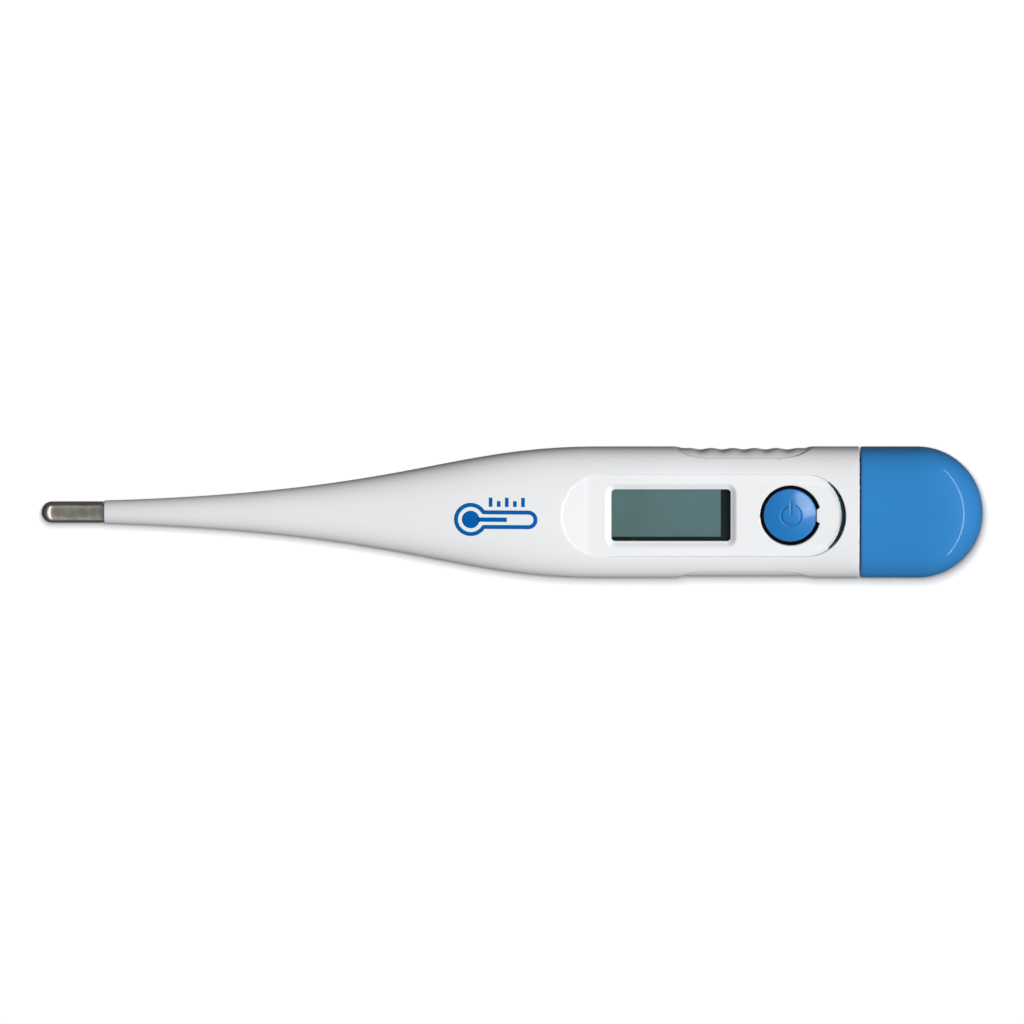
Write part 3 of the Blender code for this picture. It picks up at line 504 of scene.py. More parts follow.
def hole_loop(grow, z, count=144):
    """Circle round the button, with the tab's flat face where the angle passes it."""
    angle = np.linspace(0, 2 * math.pi, count, endpoint=False)
    radius = np.full(count, HOLE_RADIUS + grow)
    on_tab = (np.cos(angle) > 0) & (np.abs(HOLE_RADIUS * np.sin(angle)) < TAB_HALF_WIDTH)
    if grow < HOLE_ROUND:
        radius[on_tab] = (TAB_FACE + grow) / np.cos(angle[on_tab])
    return np.column_stack([BUTTON_X + radius * np.cos(angle), radius * np.sin(angle), np.full(count, z)])


hole = [hole_loop(0, CEILING_Z), hole_loop(0, PANEL_Z - HOLE_ROUND)]
for turn in np.linspace(0, math.pi / 2, 6)[1:]:
    grow = HOLE_ROUND * (1 - math.cos(turn))
    hole.append(hole_loop(grow, PANEL_Z - HOLE_ROUND * (1 - math.sin(turn))))
hole.append(hole_loop(HOLE_ROUND + FOOT_ROUND, PANEL_Z))

# The rear: a rounded edge, the shoulder, the spigot with its groove, and the mouth that the drawer fills
SPIGOT_WIDTH, SPIGOT_HEIGHT, SPIGOT_POWER = 7.5, 3.75, 3.2
MOUTH_WIDTH, MOUTH_HEIGHT, MOUTH_POWER = 6.1, 2.85, 6.0
GROOVE_X, GROOVE_LENGTH, GROOVE_DEPTH = 48.65, 0.9, 0.4


def spigot_ring(x, inset=0.0):
    height = SPIGOT_HEIGHT - inset
    return squircle(x, ring_phi, SPIGOT_WIDTH - inset, height, height, SPIGOT_POWER)


def mouth_ring(x, grow=0.0):
    height = MOUTH_HEIGHT + grow
    return squircle(x, ring_phi, MOUTH_WIDTH + grow, height, height, MOUTH_POWER)


def joint_ring(turn):
    """Section drawn in round the quarter circle of the joint's edge."""
    inset = JOINT_ROUND * (1 - math.cos(turn))
    share = 1 - inset / HALF_WIDTH
    ring = skin(DECK_END, ring_phi)
    ring[:, 0] += JOINT_ROUND * math.sin(turn)
    ring[:, 1] *= share
    ring[:, 2] = AXIS_Z + (ring[:, 2] - AXIS_Z) * (1 - inset / HALF_TOP)
    return ring


rear_rows = [joint_ring(turn) for turn in np.linspace(0, math.pi / 2, 5)]
rear_rows += [spigot_ring(x, inset) for x, inset in (
    (JOINT_X, 0), (GROOVE_X, 0), (GROOVE_X, GROOVE_DEPTH), (GROOVE_X + GROOVE_LENGTH, GROOVE_DEPTH),
    (GROOVE_X + GROOVE_LENGTH, 0), (SPIGOT_END - 0.25, 0), (SPIGOT_END - 0.07, 0.07), (SPIGOT_END, 0.25))]
rear_rows += [mouth_ring(SPIGOT_END, 0.15), mouth_ring(SPIGOT_END - 0.15), mouth_ring(HOLLOW_END)]
rear_rows.append(hollow(HOLLOW_END, ring_phi))

MOUTH_ROUND = 0.08
stem_mouth = np.stack([squircle(STEM_X, ring_phi, radius, radius, radius, 2.0)
                       for radius in (STEM_RADIUS - MOUTH_ROUND, SOCKET_RADIUS)])
stem_skin = skin(stem_x[:, None], ring_phi[None, :])
stem_skin[0] = stem_mouth[0]
stem_hollow = hollow(stem_x[:, None], ring_phi[None, :])
stem_hollow[0] = stem_mouth[1]
rest_skin = skin(deck_x[:, None], rest_phi[None, :])
rest_hollow = hollow(inward(deck_x)[:, None], rest_phi[None, :])
deck_hollow = under_deck(deck_rows)

add_piece(
    "shell_moulding",
    [
        net(stem_skin, closed=True),
        net(stem_mouth, closed=True),
        net(stem_hollow, closed=True),
        net(rest_skin),
        net(rest_hollow),
        net(deck_rows, closed=True),
        net(deck_hollow, closed=True),
        net(np.stack(funnel), closed=True),
        net(np.stack(hole), closed=True),
        net(np.stack(rear_rows), closed=True),
        net(np.stack(ramp_rows)),
        plate(level_loop, funnel[-1], hole[-1]),
        plate(deck_hollow[0], funnel[0], hole[0]),
    ],
    WHITE,
    "housing",
    ["body_shell"],
)

# Painted shade in the groove: a thin dark teal sheet laid on the floor of the crescent groove behind the
# button, which stands for the shade that falls in the groove.
GROOVE_SHADE = moulded("painted_groove_shade", paint(38, 70, 90), 0.5, spread=0.1, grain=5000.0, Specular_IOR_Level=0.2)
GROOVE_SHADE_LIFT = 0.3
GROOVE_SHADE_THICKNESS = 0.05
in_groove = np.flatnonzero(crescent > 0.04)
groove_shade_rows = []
for share in np.linspace(0, 1, 5):
    inset = SLOPE_SIDE - 0.05 + ((CRESCENT_WIDTH - 0.02) * crescent[in_groove] + 0.02) * share
    plan = outline[in_groove] - outward[in_groove] * inset[:, None]
    low = floor_height(plan[:, 0]) - sunk[in_groove]
    groove_shade_rows.append(np.column_stack([plan, low + GROOVE_SHADE_LIFT * ease(crescent[in_groove] / CRESCENT_END)]))
painted_groove_shade = add_piece("painted_groove_shade", [net(np.stack(groove_shade_rows))], GROOVE_SHADE, "housing")


def thicken(sheet, depth):
    """Closed solid from a sheet that faces up: it grows down by this depth."""
    wall = sheet.modifiers.new("thickness", "SOLIDIFY")
    wall.thickness = depth * MM
    wall.offset = -1.0


thicken(painted_groove_shade, GROOVE_SHADE_THICKNESS)

# Printed mark: a plain picture of a thermometer in blue pad-printing ink, a few hundredths thick, on
# the shell between the stem and the display.
INK = moulded("blue_ink", paint(0, 92, 166), 0.5, spread=0.06, grain=9000.0, depth=0.002,
              Specular_IOR_Level=0.2)
INK_LIFT, INK_THICKNESS = 0.012, 0.01
MARK_X, MARK_Y = -2.0, -0.55
BULB_X, BULB_RADIUS, BULB_FILL = -3.6, 2.0, 1.2
TUBE_END, TUBE_HALF = 5.2, 1.0
LINE_WIDTH, COLUMN_WIDTH, TICK_WIDTH = 0.55, 0.6, 0.5
COLUMN_START, COLUMN_END = BULB_X + 0.9, 1.3
TICK_START, TICK_END = -0.9, 3.5
TICK_LOW = 1.75
LONG_TICK, SHORT_TICK = 1.25, 0.8


def on_skin(plan):
    """Plan places of the mark, set on the shell and lifted by the ink."""
    placed = plan + (MARK_X, MARK_Y)
    return np.column_stack([placed, skin_height(placed[:, 0], placed[:, 1]) + INK_LIFT])


def stroke(path, width, closed=False):
    """Band of even width along a plan path, five points across, laid on the skin."""
    ends = (np.roll(path, -1, 0) - np.roll(path, 1, 0)) if closed else np.gradient(path, axis=0)
    across = np.stack([-ends[:, 1], ends[:, 0]], 1) / np.linalg.norm(ends, axis=1)[:, None]
    rows = [on_skin(path + across * width * share) for share in np.linspace(-0.5, 0.5, 5)]
    return net(np.stack(rows), closed=closed)


def arc(x, radius, start, end, count):
    angle = np.linspace(start, end, count)
    return np.column_stack([x + radius * np.cos(angle), radius * np.sin(angle)])


def straight(x0, y0, x1, y1, count=24):
    return np.column_stack([np.linspace(x0, x1, count), np.linspace(y0, y1, count)])


neck_angle = math.asin(TUBE_HALF / BULB_RADIUS)
neck_x = BULB_X + BULB_RADIUS * math.cos(neck_angle)
tube_turn = TUBE_END - TUBE_HALF
contour = np.concatenate([
    arc(BULB_X, BULB_RADIUS, neck_angle, 2 * math.pi - neck_angle, 56),
    straight(neck_x, -TUBE_HALF, tube_turn, -TUBE_HALF, 40)[1:-1],
    arc(tube_turn, TUBE_HALF, -math.pi / 2, math.pi / 2, 24),
    straight(tube_turn, TUBE_HALF, neck_x, TUBE_HALF, 40)[1:-1],
])
disc_rows = [on_skin(arc(BULB_X, radius, 0, 2 * math.pi, 49)[:-1]) for radius in np.linspace(0, BULB_FILL, 7)]
ink = [stroke(contour, LINE_WIDTH, closed=True), net(np.stack(disc_rows), closed=True)]
ink.append(stroke(straight(COLUMN_START, 0, COLUMN_END, 0, 30), COLUMN_WIDTH))
for number, tick_x in enumerate(np.linspace(TICK_START, TICK_END, 5)):
    tick_length = SHORT_TICK if number % 2 else LONG_TICK
    ink.append(stroke(straight(tick_x, TICK_LOW, tick_x, TICK_LOW + tick_length, 8), TICK_WIDTH))
thicken(add_piece("printed_mark", ink, INK, "housing"), INK_THICKNESS)

# Display window: a clear acrylic plate bonded under the panel, whose raised middle fills the opening.
LENS_LOW, LENS_HIGH = (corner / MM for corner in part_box("display_window"))
LENS_FLANGE = (LENS_HIGH.y - LENS_LOW.y - WINDOW_WIDTH) / 2
LENS_GAP = 0.05


def clear_acrylic():
    """Clear moulded acrylic: mostly see-through, with a polished surface and a few faint wipe marks."""
    material, shader, place = new_finish("clear_acrylic", 0.06, Alpha=0.04)
    wipes = place.noise(400.0, 3.0)
    feed(shader, "Base Color", wipes.mix(paint(90, 110, 115), paint(120, 140, 145)))
    feed(shader, "Roughness", 0.05 + wipes * 0.06)
    return material


CLEAR = clear_acrylic()
lens_loops = [
    window_loop(LENS_FLANGE, LENS_LOW.z),
    window_loop(LENS_FLANGE, CEILING_Z - LENS_GAP),
    window_loop(-LENS_GAP, CEILING_Z - LENS_GAP),
    window_loop(-LENS_GAP, LENS_HIGH.z - 0.1),
    window_loop(-LENS_GAP - 0.03, LENS_HIGH.z - 0.03),
    window_loop(-LENS_GAP - 0.1, LENS_HIGH.z),
]
add_piece(
    "window_lens",
    [net(np.stack(lens_loops), closed=True), plate(lens_loops[0]), plate(lens_loops[-1])],
    CLEAR,
    "housing",
    ["display_window"],
)

# Probe tip: a deep-drawn stainless steel cap with a reduced neck that is glued into the stem.
TIP_LOW, TIP_HIGH = (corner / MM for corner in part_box("probe_tip"))
TIP_RADIUS = (TIP_HIGH.y - TIP_LOW.y) / 2
TIP_WALL = 0.2
NECK_RADIUS = 1.1
END_SHADE_LENGTH = 1.6


def turned(profile, count=64):
    """Rows of points of a profile of (x, radius) turned about the stem's axis."""
    profile = np.asarray(profile)
    angle = np.linspace(0, 2 * math.pi, count, endpoint=False)
    x = np.broadcast_to(profile[:, :1], (len(profile), count))
    return np.stack([x, profile[:, 1:] * np.cos(angle), AXIS_Z + profile[:, 1:] * np.sin(angle)], axis=-1)


def drawn_steel():
    """Polished steel: fine lines round the tube from polishing, and painted shade that makes the last 1.6 mm
    at the end browner and darker.
    """
    material, shader, place = new_finish("drawn_steel", 0.3, metallic=1.0)
    x, _, _ = place.axes()
    lines = x.lines(14000.0, 3.0)
    blotches = place.noise(900.0, 3.0)
    # Painted shade: the round end is browner and darker over its last 1.6 mm
    end_shade = 1 - x.band(TIP_LOW.x * MM, (TIP_LOW.x + END_SHADE_LENGTH) * MM)
    clean = blotches.band(0.35, 0.65).mix(paint(190, 184, 174), paint(200, 195, 186))
    feed(shader, "Base Color", (end_shade * 0.7).mix(clean, paint(150, 136, 108)))
    feed(shader, "Roughness", 0.2 + blotches * 0.08)
    roughen(shader, lines, 0.004)
    return material


STEEL = drawn_steel()
INNER_RADIUS = TIP_RADIUS - TIP_WALL


def end_dome(radius):
    """Quarter circle of (x, radius) about the centre of the tip's round end."""
    turn = np.linspace(0, math.pi / 2, 16)
    return np.column_stack([TIP_LOW.x + TIP_RADIUS - radius * np.cos(turn), radius * np.sin(turn)])


step_x = STEM_X - 0.05
tube_x = np.linspace(TIP_LOW.x + TIP_RADIUS, step_x - 0.12, 14)[1:]
tube = np.column_stack([tube_x, np.full_like(tube_x, TIP_RADIUS)])
step = [(step_x - 0.03, TIP_RADIUS - 0.02), (step_x, TIP_RADIUS - 0.09), (step_x, NECK_RADIUS)]
neck = [(TIP_HIGH.x, NECK_RADIUS), (TIP_HIGH.x, NECK_RADIUS - TIP_WALL)]
inside = [(step_x - 0.1, NECK_RADIUS - TIP_WALL), (step_x - 0.3, INNER_RADIUS)]
tip_profile = np.concatenate([end_dome(TIP_RADIUS), tube, step, neck, inside, end_dome(INNER_RADIUS)[::-1]])
tip = add_piece("steel_tip", [net(turned(tip_profile), closed=True)], STEEL, "housing",
                ["probe_tip"])

# Sensor in the tip: a glass bead, two enamelled copper leads through the stem, and potting behind it.
# The leads lie in waves in the shell.
LEAD_RADIUS = 0.12
LEAD_SPACING = 0.28
LEAD_START, LEAD_END = -61.3, 10.0
SLACK_START, SLACK_END = -22.0, 5.0
SLACK_RISE, SLACK_PITCH = 1.5, 8.0
BOARD_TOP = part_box("circuit_board")[1].z / MM
ENAMEL = moulded("wire_enamel", paint(168, 78, 40), 0.3, spread=0.15, grain=4000.0)
POTTING = moulded("potting_resin", paint(212, 203, 176), 0.3, spread=0.08)
FIRED = moulded("fired_ceramic", paint(228, 224, 214), 0.5, spread=0.06)


def lead_path(side):
    """Straight in the stem, a sine wave in the hollow, then down to the board."""
    straight_x = np.linspace(LEAD_START, SLACK_START, 40)[:-1]
    x = np.concatenate([straight_x, np.linspace(SLACK_START, LEAD_END, 220)])
    waved = ease((x - SLACK_START) / 5) * ease((SLACK_END - x) / 5)
    y = side * (LEAD_SPACING + 0.6 * ease((x + 2) / 7))
    wave = SLACK_RISE * waved * np.sin(2 * np.pi * (x - SLACK_START + 2) / SLACK_PITCH)
    board_height = BOARD_TOP + LEAD_RADIUS + 0.08
    return np.column_stack([x, y, AXIS_Z + wave + (board_height - AXIS_Z) * ease((x - 2) / 6)])


def tube_along(path, radius, count=12):
    """Round tube along a path that runs mostly along X: circles square to it, and two end caps."""
    along = np.gradient(path, axis=0)
    along /= np.linalg.norm(along, axis=1)[:, None]
    side = np.cross(along, (0.0, 1.0, 0.0))
    side /= np.linalg.norm(side, axis=1)[:, None]
    other = np.cross(along, side)
    angle = np.linspace(0, 2 * math.pi, count, endpoint=False)[None, :, None]
    rings = path[:, None] + radius * (np.cos(angle) * side[:, None] + np.sin(angle) * other[:, None])
    return [net(rings, closed=True), plate(rings[0]), plate(rings[-1])]


for label, side in (("a", 1), ("b", -1)):
    lead = add_piece(f"lead_{label}", tube_along(lead_path(side), LEAD_RADIUS), ENAMEL, None,
                     [f"sensor_lead_{label}"])
    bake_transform(lead)


def dress(node, material):
    """Gives a CAD node its finish."""
    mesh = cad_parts[node].data
    mesh.materials.clear()
    mesh.materials.append(material)


dress("thermistor_bead", FIRED)
dress("tip_adhesive", POTTING)

# Cover gasket: a moulded rubber ring with a round back, stretched into the spigot's groove.
GASKET_LOW, GASKET_HIGH = (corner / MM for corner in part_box("cover_gasket"))
RUBBER = moulded("gasket_rubber", paint(38, 38, 40), 0.62, spread=0.2, grain=3000.0, depth=0.01)
gasket_middle = (GASKET_LOW.x + GASKET_HIGH.x) / 2
gasket_half = (GASKET_HIGH.x - GASKET_LOW.x) / 2
gasket_rows = []
for angle in np.linspace(0, 2 * math.pi, 25)[:-1]:
    bulge = math.copysign(abs(math.sin(angle)) ** 0.7, math.sin(angle))
    gasket_rows.append(spigot_ring(gasket_middle + gasket_half * math.cos(angle), 0.14 - 0.19 * bulge))
gasket_rows.append(gasket_rows[0])
add_piece("gasket_ring", [net(np.stack(gasket_rows), closed=True)], RUBBER, "housing",
          ["cover_gasket"])

# Drawer: a grey moulded chassis that carries the board, the display, the switch and the cell. Its
# pieces keep the solids' shapes, with the small rounds that moulding, sawing and stamping leave.


def softened(node, name, material, body, width, segments=2):
    """Copy of a CAD node with merged points, flat faces made whole, and its edges rounded."""
    piece = bpy.data.objects.new(name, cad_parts[node].data.copy())
    bpy.context.scene.collection.objects.link(piece)
    work = bmesh.new()
    work.from_mesh(piece.data)
    bmesh.ops.remove_doubles(work, verts=work.verts, dist=1e-6)
    bmesh.ops.dissolve_limit(work, angle_limit=math.radians(2), verts=work.verts, edges=work.edges)
    bmesh.ops.recalc_face_normals(work, faces=work.faces)
    work.to_mesh(piece.data)
    work.free()
    piece.data.shade_smooth()
    piece.data.set_sharp_from_angle(angle=math.radians(32))
    piece.data.materials.clear()
    piece.data.materials.append(material)
    bevel = piece.modifiers.new("rounded_edges", "BEVEL")
    bevel.width = width * MM
    bevel.segments = segments
    bevel.limit_method = "ANGLE"
    bevel.angle_limit = math.radians(40)
    bevel.harden_normals = False
    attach(piece, body)
    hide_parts(node)
    return piece


def circuit_resist():
    """Green solder resist over copper: raised tracks, finer lanes along X, and tinned pads."""
    material, shader, place = new_finish("solder_resist", 0.35)
    _, y, _ = place.axes()
    cells = place.node("ShaderNodeTexVoronoi", {"distance": "CHEBYCHEV"},
                       {"Vector": place, "Scale": 900.0, "Randomness": 0.6})
    tracks = cells.band(0.32, 0.36)
    pads = 1 - cells.band(0.1, 0.13)
    lanes = (y * 1250.0).math("FRACT").band(0.42, 0.5)
    copper = (tracks * 0.6 + lanes * 0.4).mix(paint(20, 74, 42), paint(34, 104, 60))
    feed(shader, "Base Color", pads.mix(copper, paint(196, 190, 172)))
    feed(shader, "Metallic", pads * 0.8)
    roughen(shader, tracks + pads * 0.5, 0.03)
    return material


GREY = moulded("chassis_plastic", paint(205, 206, 206), 0.42, spread=0.04)
BLACK = moulded("black_plastic", paint(9, 9, 9), 0.6, spread=0.2, Specular_IOR_Level=0.15)
CHIP = moulded("chip_black", paint(30, 30, 32), 0.4, spread=0.2)
RESIN = moulded("black_resin", paint(16, 16, 17), 0.15, spread=0.2)
TAN = moulded("capacitor_ceramic", paint(176, 143, 104), 0.5, spread=0.1)
SILICONE = moulded("translucent_silicone", paint(186, 188, 188), 0.5, spread=0.06)
CARBON = moulded("carbon_pill", paint(24, 24, 24), 0.7, spread=0.2)


def stamped(name, light, dark, roughness):
    """Sheet metal: fine rolling lines along X and slight tarnish in patches."""
    material, shader, place = new_finish(name, roughness, metallic=1.0)
    patches = place.noise(700.0, 4.0)
    _, y, _ = place.axes()
    lines = y.lines(9000.0)
    feed(shader, "Base Color", patches.band(0.3, 0.7).mix(dark, light))
    feed(shader, "Roughness", roughness + patches * 0.15)
    roughen(shader, lines, 0.003)
    return material


BRASS = stamped("rolled_brass", paint(214, 184, 112), paint(180, 146, 82), 0.25)
NICKEL = stamped("nickel_plate", paint(206, 205, 202), paint(176, 174, 170), 0.2)
SOLDER = stamped("solder_metal", paint(200, 200, 200), paint(160, 160, 162), 0.28)
MODULE = "electronics_module"
softened("chassis", "drawer_chassis", GREY, MODULE, 0.12)
softened("circuit_board", "printed_board", circuit_resist(), MODULE, 0.05)
softened("battery_contact_negative", "contact_negative", NICKEL, MODULE, 0.04)
softened("battery_contact_positive", "contact_positive", NICKEL, MODULE, 0.04)
softened("chip_capacitor", "ceramic_capacitor", TAN, MODULE, 0.06)
for label in ("a", "b"):
    softened(f"chip_resistor_{label}", f"resistor_{label}", CHIP, MODULE, 0.04)
    dress(f"lead_solder_joint_{label}", SOLDER)
dress("chip_cover", RESIN)
dress("switch_contact", CARBON)
dress("buzzer_disc", BRASS)
dress("buzzer_ceramic", FIRED)
# The silicone dome has a mesh of its own
dome = softened("switch_pad", "silicone_dome", SILICONE, MODULE, 0.1)
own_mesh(dome)

# Display: two glass plates with a grey-green polariser on top and a reflector below, striped rubber
# contacts at both sides, and a black frame that holds the stack to the board.


def polarised_film():
    """Grey-green film over a blank display: very faint darker shapes of the unlit cells, soft sheen, and
    painted light that makes it lighter and bluer towards +X.
    """
    material, shader, place = new_finish("display_film", 0.6, Specular_IOR_Level=0.1)
    x, _, _ = place.axes()
    clouds = place.noise(160.0, 2.0)
    warm = clouds.band(0.3, 0.7).mix(paint(95, 122, 119), paint(101, 131, 131))
    # Painted light: the film turns lighter and bluer from x = 13 mm to 29 mm
    painted_light = x.band(13.0 * MM, 29.0 * MM)
    feed(shader, "Base Color", (painted_light * 0.6).mix(warm, paint(105, 137, 142)))
    roughen(shader, place.noise(5000.0, 2.0), 0.002)
    return material


def sheet_glass():
    """Thin display glass with a green edge."""
    material, shader, place = new_finish("display_glass", 0.05, Alpha=0.3)
    clouds = place.noise(300.0, 2.0)
    feed(shader, "Base Color", clouds.mix(paint(120, 142, 134), paint(140, 160, 152)))
    return material


def striped_rubber():
    """Elastomer contact: thin black conducting layers between pink insulating ones."""
    material, shader, place = new_finish("striped_rubber", 0.55)
    x, _, _ = place.axes()
    layers = (x * 5500.0).math("FRACT").band(0.4, 0.6)
    feed(shader, "Base Color", layers.mix(paint(214, 170, 170), paint(40, 34, 36)))
    roughen(shader, layers, 0.004)
    return material


GLASS = sheet_glass()
STRIPES = striped_rubber()
film = softened("lcd_polariser", "polariser_film", polarised_film(), MODULE, 0.02)
softened("lcd_front_glass", "front_glass", GLASS, MODULE, 0.04)
softened("lcd_rear_glass", "rear_glass", GLASS, MODULE, 0.04)
softened("lcd_reflector", "reflector_film", NICKEL, MODULE, 0.02)
bezel = softened("lcd_frame", "display_frame", BLACK, MODULE, 0.05)
for label in ("left", "right"):
    softened(f"elastomer_strip_{label}", f"rubber_contact_{label}", STRIPES, MODULE, 0.05)

# Cell: a button cell, whose can is rolled over a seal round the smaller cap underneath.
CELL_LOW, CELL_HIGH = (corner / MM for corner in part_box("battery_cell"))
CELL_X = (CELL_LOW.x + CELL_HIGH.x) / 2
CELL_RADIUS = (CELL_HIGH.y - CELL_LOW.y) / 2


def turned_upright(profile, x, low, count=72):
    """Rows of points of a profile of (radius, height above low) turned about a vertical axis."""
    profile = np.asarray(profile)
    angle = np.linspace(0, 2 * math.pi, count, endpoint=False)
    z = np.broadcast_to(low + profile[:, 1:], (len(profile), count))
    return np.stack([x + profile[:, :1] * np.cos(angle), profile[:, :1] * np.sin(angle), z], axis=-1)


# Each profile is of radius and height above the cell's underside, from the axis outwards and back
CELL_HEIGHT = CELL_HIGH.z - CELL_LOW.z
CAN_PROFILE = [
    (0, CELL_HEIGHT), (2.9, CELL_HEIGHT), (3.0, CELL_HEIGHT - 0.04), (CELL_RADIUS - 0.25, CELL_HEIGHT - 0.04),
    (CELL_RADIUS - 0.08, CELL_HEIGHT - 0.1), (CELL_RADIUS, CELL_HEIGHT - 0.28), (CELL_RADIUS, 0.45),
    (CELL_RADIUS - 0.1, 0.3), (CELL_RADIUS - 0.3, 0.24), (CELL_RADIUS - 0.62, 0.24),
    (CELL_RADIUS - 0.62, 0.6), (0, 0.6),
]
CAP_PROFILE = [(0, 0), (2.75, 0), (2.95, 0.08), (3.02, 0.55), (0, 0.55)]
SEAL_PROFILE = [(3.06, 0.16), (3.28, 0.16), (3.28, 0.55), (3.06, 0.55), (3.06, 0.16)]
can_rows, cap_rows, seal_rows = (
    turned_upright(profile, CELL_X, CELL_LOW.z) for profile in (CAN_PROFILE, CAP_PROFILE, SEAL_PROFILE))
add_piece("cell_can", [net(can_rows, closed=True)], NICKEL, MODULE, ["battery_cell"])
add_piece("cell_cap", [net(cap_rows, closed=True)], NICKEL, MODULE)
add_piece("cell_seal", [net(seal_rows, closed=True)], BLACK, MODULE)

# Power button: a domed blue key with an engraved power sign, a flange that holds it in the shell, a
# notch for the shell's tab, and a plunger that rests on the silicone dome.
KEY_LOW, KEY_HIGH = (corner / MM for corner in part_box("power_button"))
KEY_RADIUS = 3.6
KEY_RIM = 9.35
KEY_ROUND = 0.2
KEY_NOTCH = 3.5
FLANGE_RADIUS = (KEY_HIGH.y - KEY_LOW.y) / 2
FLANGE_LOW, FLANGE_HIGH = 8.35, 8.75
SEAL_HIGH = 8.85
PLUNGER_RADIUS = 1.9
SIGN_X = BUTTON_X + 0.1
SIGN_RADIUS = 1.35
SIGN_HALF_LINE = 0.2
SIGN_EDGE = 0.14
SIGN_DEPTH = 0.13
SIGN_GAP = 0.5
FAR_AWAY = 9.0
BAR_LOW, BAR_HIGH = 0.25, 1.75
KEY_TURNS = 192
key_angle = np.linspace(0, 2 * math.pi, KEY_TURNS, endpoint=False)


def key_plan(share, radius=KEY_RADIUS, notch=0.0):
    """Loop a share of the way from the sign's centre to the outline, which has a notch at +X."""
    reach = np.full(KEY_TURNS, radius)
    near = (np.cos(key_angle) > 0) & (np.abs(radius * np.sin(key_angle)) < TAB_HALF_WIDTH + 0.1)
    if notch:
        reach[near] = np.minimum(radius, notch / np.cos(key_angle[near]))
    edge = np.column_stack([BUTTON_X + reach * np.cos(key_angle), reach * np.sin(key_angle)])
    centre = np.array([SIGN_X, 0.0])
    return centre + (edge - centre) * share


def engraving(x, y):
    """Depth of the sign: a ring with a gap at the top, and a bar through the gap, both with soft edges."""
    ring = np.abs(np.hypot(x, y) - SIGN_RADIUS)
    ring = np.where((y > 0) & (np.abs(x) < SIGN_GAP), FAR_AWAY, ring)
    bar = np.hypot(x, y - np.clip(y, BAR_LOW, BAR_HIGH))
    return SIGN_DEPTH * ease((SIGN_HALF_LINE - np.minimum(ring, bar)) / SIGN_EDGE)


def key_top(share):
    """Loop on the dome: its height falls with the square of the radius, less the engraving."""
    plan = key_plan(share, KEY_RADIUS - KEY_ROUND)
    radius = np.hypot(plan[:, 0] - BUTTON_X, plan[:, 1])
    height = KEY_RIM + (KEY_HIGH.z - KEY_RIM) * (1 - (radius / KEY_RADIUS) ** 2)
    return np.column_stack([plan, height - engraving(plan[:, 0] - SIGN_X, plan[:, 1])])


def key_side(radius, z, notch=0.0):
    return np.column_stack([key_plan(1.0, radius, notch), np.full(KEY_TURNS, z)])


# The rows lie closer over the sign than outside it
top_shares = [0, *np.linspace(0.02, 0.66, 46), *np.linspace(0.7, 1.0, 9)]
key_rows = [key_top(share) for share in top_shares]
top_edge = float(key_rows[-1][KEY_TURNS // 4, 2])
for turn in np.linspace(0, math.pi / 2, 6)[1:]:
    drawn_in = KEY_ROUND * (1 - math.sin(turn))
    key_rows.append(key_side(KEY_RADIUS - drawn_in, top_edge - KEY_ROUND * (1 - math.cos(turn)), KEY_NOTCH))
key_rows += [key_side(KEY_RADIUS, SEAL_HIGH, KEY_NOTCH), key_side(KEY_RADIUS, FLANGE_HIGH)]
key_rows += [key_side(FLANGE_RADIUS, FLANGE_HIGH), key_side(FLANGE_RADIUS, FLANGE_LOW)]
key_rows += [key_side(PLUNGER_RADIUS, FLANGE_LOW), key_side(PLUNGER_RADIUS, KEY_LOW.z)]
key_rows.append(key_side(0, KEY_LOW.z))
KEY_BLUE = moulded("button_blue", paint(22, 109, 174), 0.38, spread=0.06, Coat_Weight=1.0,
                   Coat_Roughness=0.12)
key = add_piece("button_key", [net(np.stack(key_rows), closed=True)], KEY_BLUE, "power_button",
                ["power_button"])

# A black ring on the flange is painted shade: it shows in the gap round the key and stands for the gap's own
# shade
GAP_SHADE_BORE = KEY_RADIUS + 0.02
gap_shade_rows = [key_side(radius, z) for radius, z in (
    (GAP_SHADE_BORE, FLANGE_HIGH), (GAP_SHADE_BORE, SEAL_HIGH), (FLANGE_RADIUS - 0.1, SEAL_HIGH),
    (FLANGE_RADIUS, SEAL_HIGH - 0.05), (FLANGE_RADIUS, FLANGE_HIGH), (GAP_SHADE_BORE, FLANGE_HIGH))]
add_piece("button_gap_shade", [net(np.stack(gap_shade_rows), closed=True)], BLACK, "power_button")

# Battery cover: a blue moulded cap whose round end is the body's section turned half a circle. Its
# bore fits the spigot, and the gasket holds it.
COVER_LOW, COVER_HIGH = (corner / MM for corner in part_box("battery_cover"))
COVER_TURN_X = COVER_HIGH.x - HALF_WIDTH
COVER_EDGE = 0.22
COVER_POWER = 2.7
BORE_WIDTH, BORE_HEIGHT = SPIGOT_WIDTH + 0.1, SPIGOT_HEIGHT + 0.1


def swept_half(profile_phi, path, width, top, bottom, power):
    """The half section, from top to bottom, carried along one side, round the end and back.

    Each row of the path is x, the angle turned from +Y towards +X, and how far the section is drawn in.
    """
    rows = []
    for x, turn, inset in path:
        half = squircle(0.0, profile_phi, width - inset, top - inset, bottom - inset, power)
        reach, height = half[:, 1], np.maximum(half[:, 2], 0)
        rows.append(np.column_stack([x + reach * math.sin(turn), reach * math.cos(turn), height]))
    return np.stack(rows)


def cover_path(start, round_off):
    """Along the +Y side from the mouth, round the end, and back along the -Y side."""
    curl = np.linspace(0, math.pi / 2, 6)
    lip = [(start + round_off * (1 - math.sin(a)), 0.0, round_off * (1 - math.cos(a))) for a in curl[::-1]]
    side = [(x, 0.0, 0.0) for x in np.linspace(start + round_off, COVER_TURN_X, 22)[1:]]
    end = [(COVER_TURN_X, turn, 0.0) for turn in np.linspace(0, math.pi, 97)[1:-1]]
    back = [(x, math.pi, inset) for x, _, inset in reversed(lip + side)]
    return lip + side + end + back


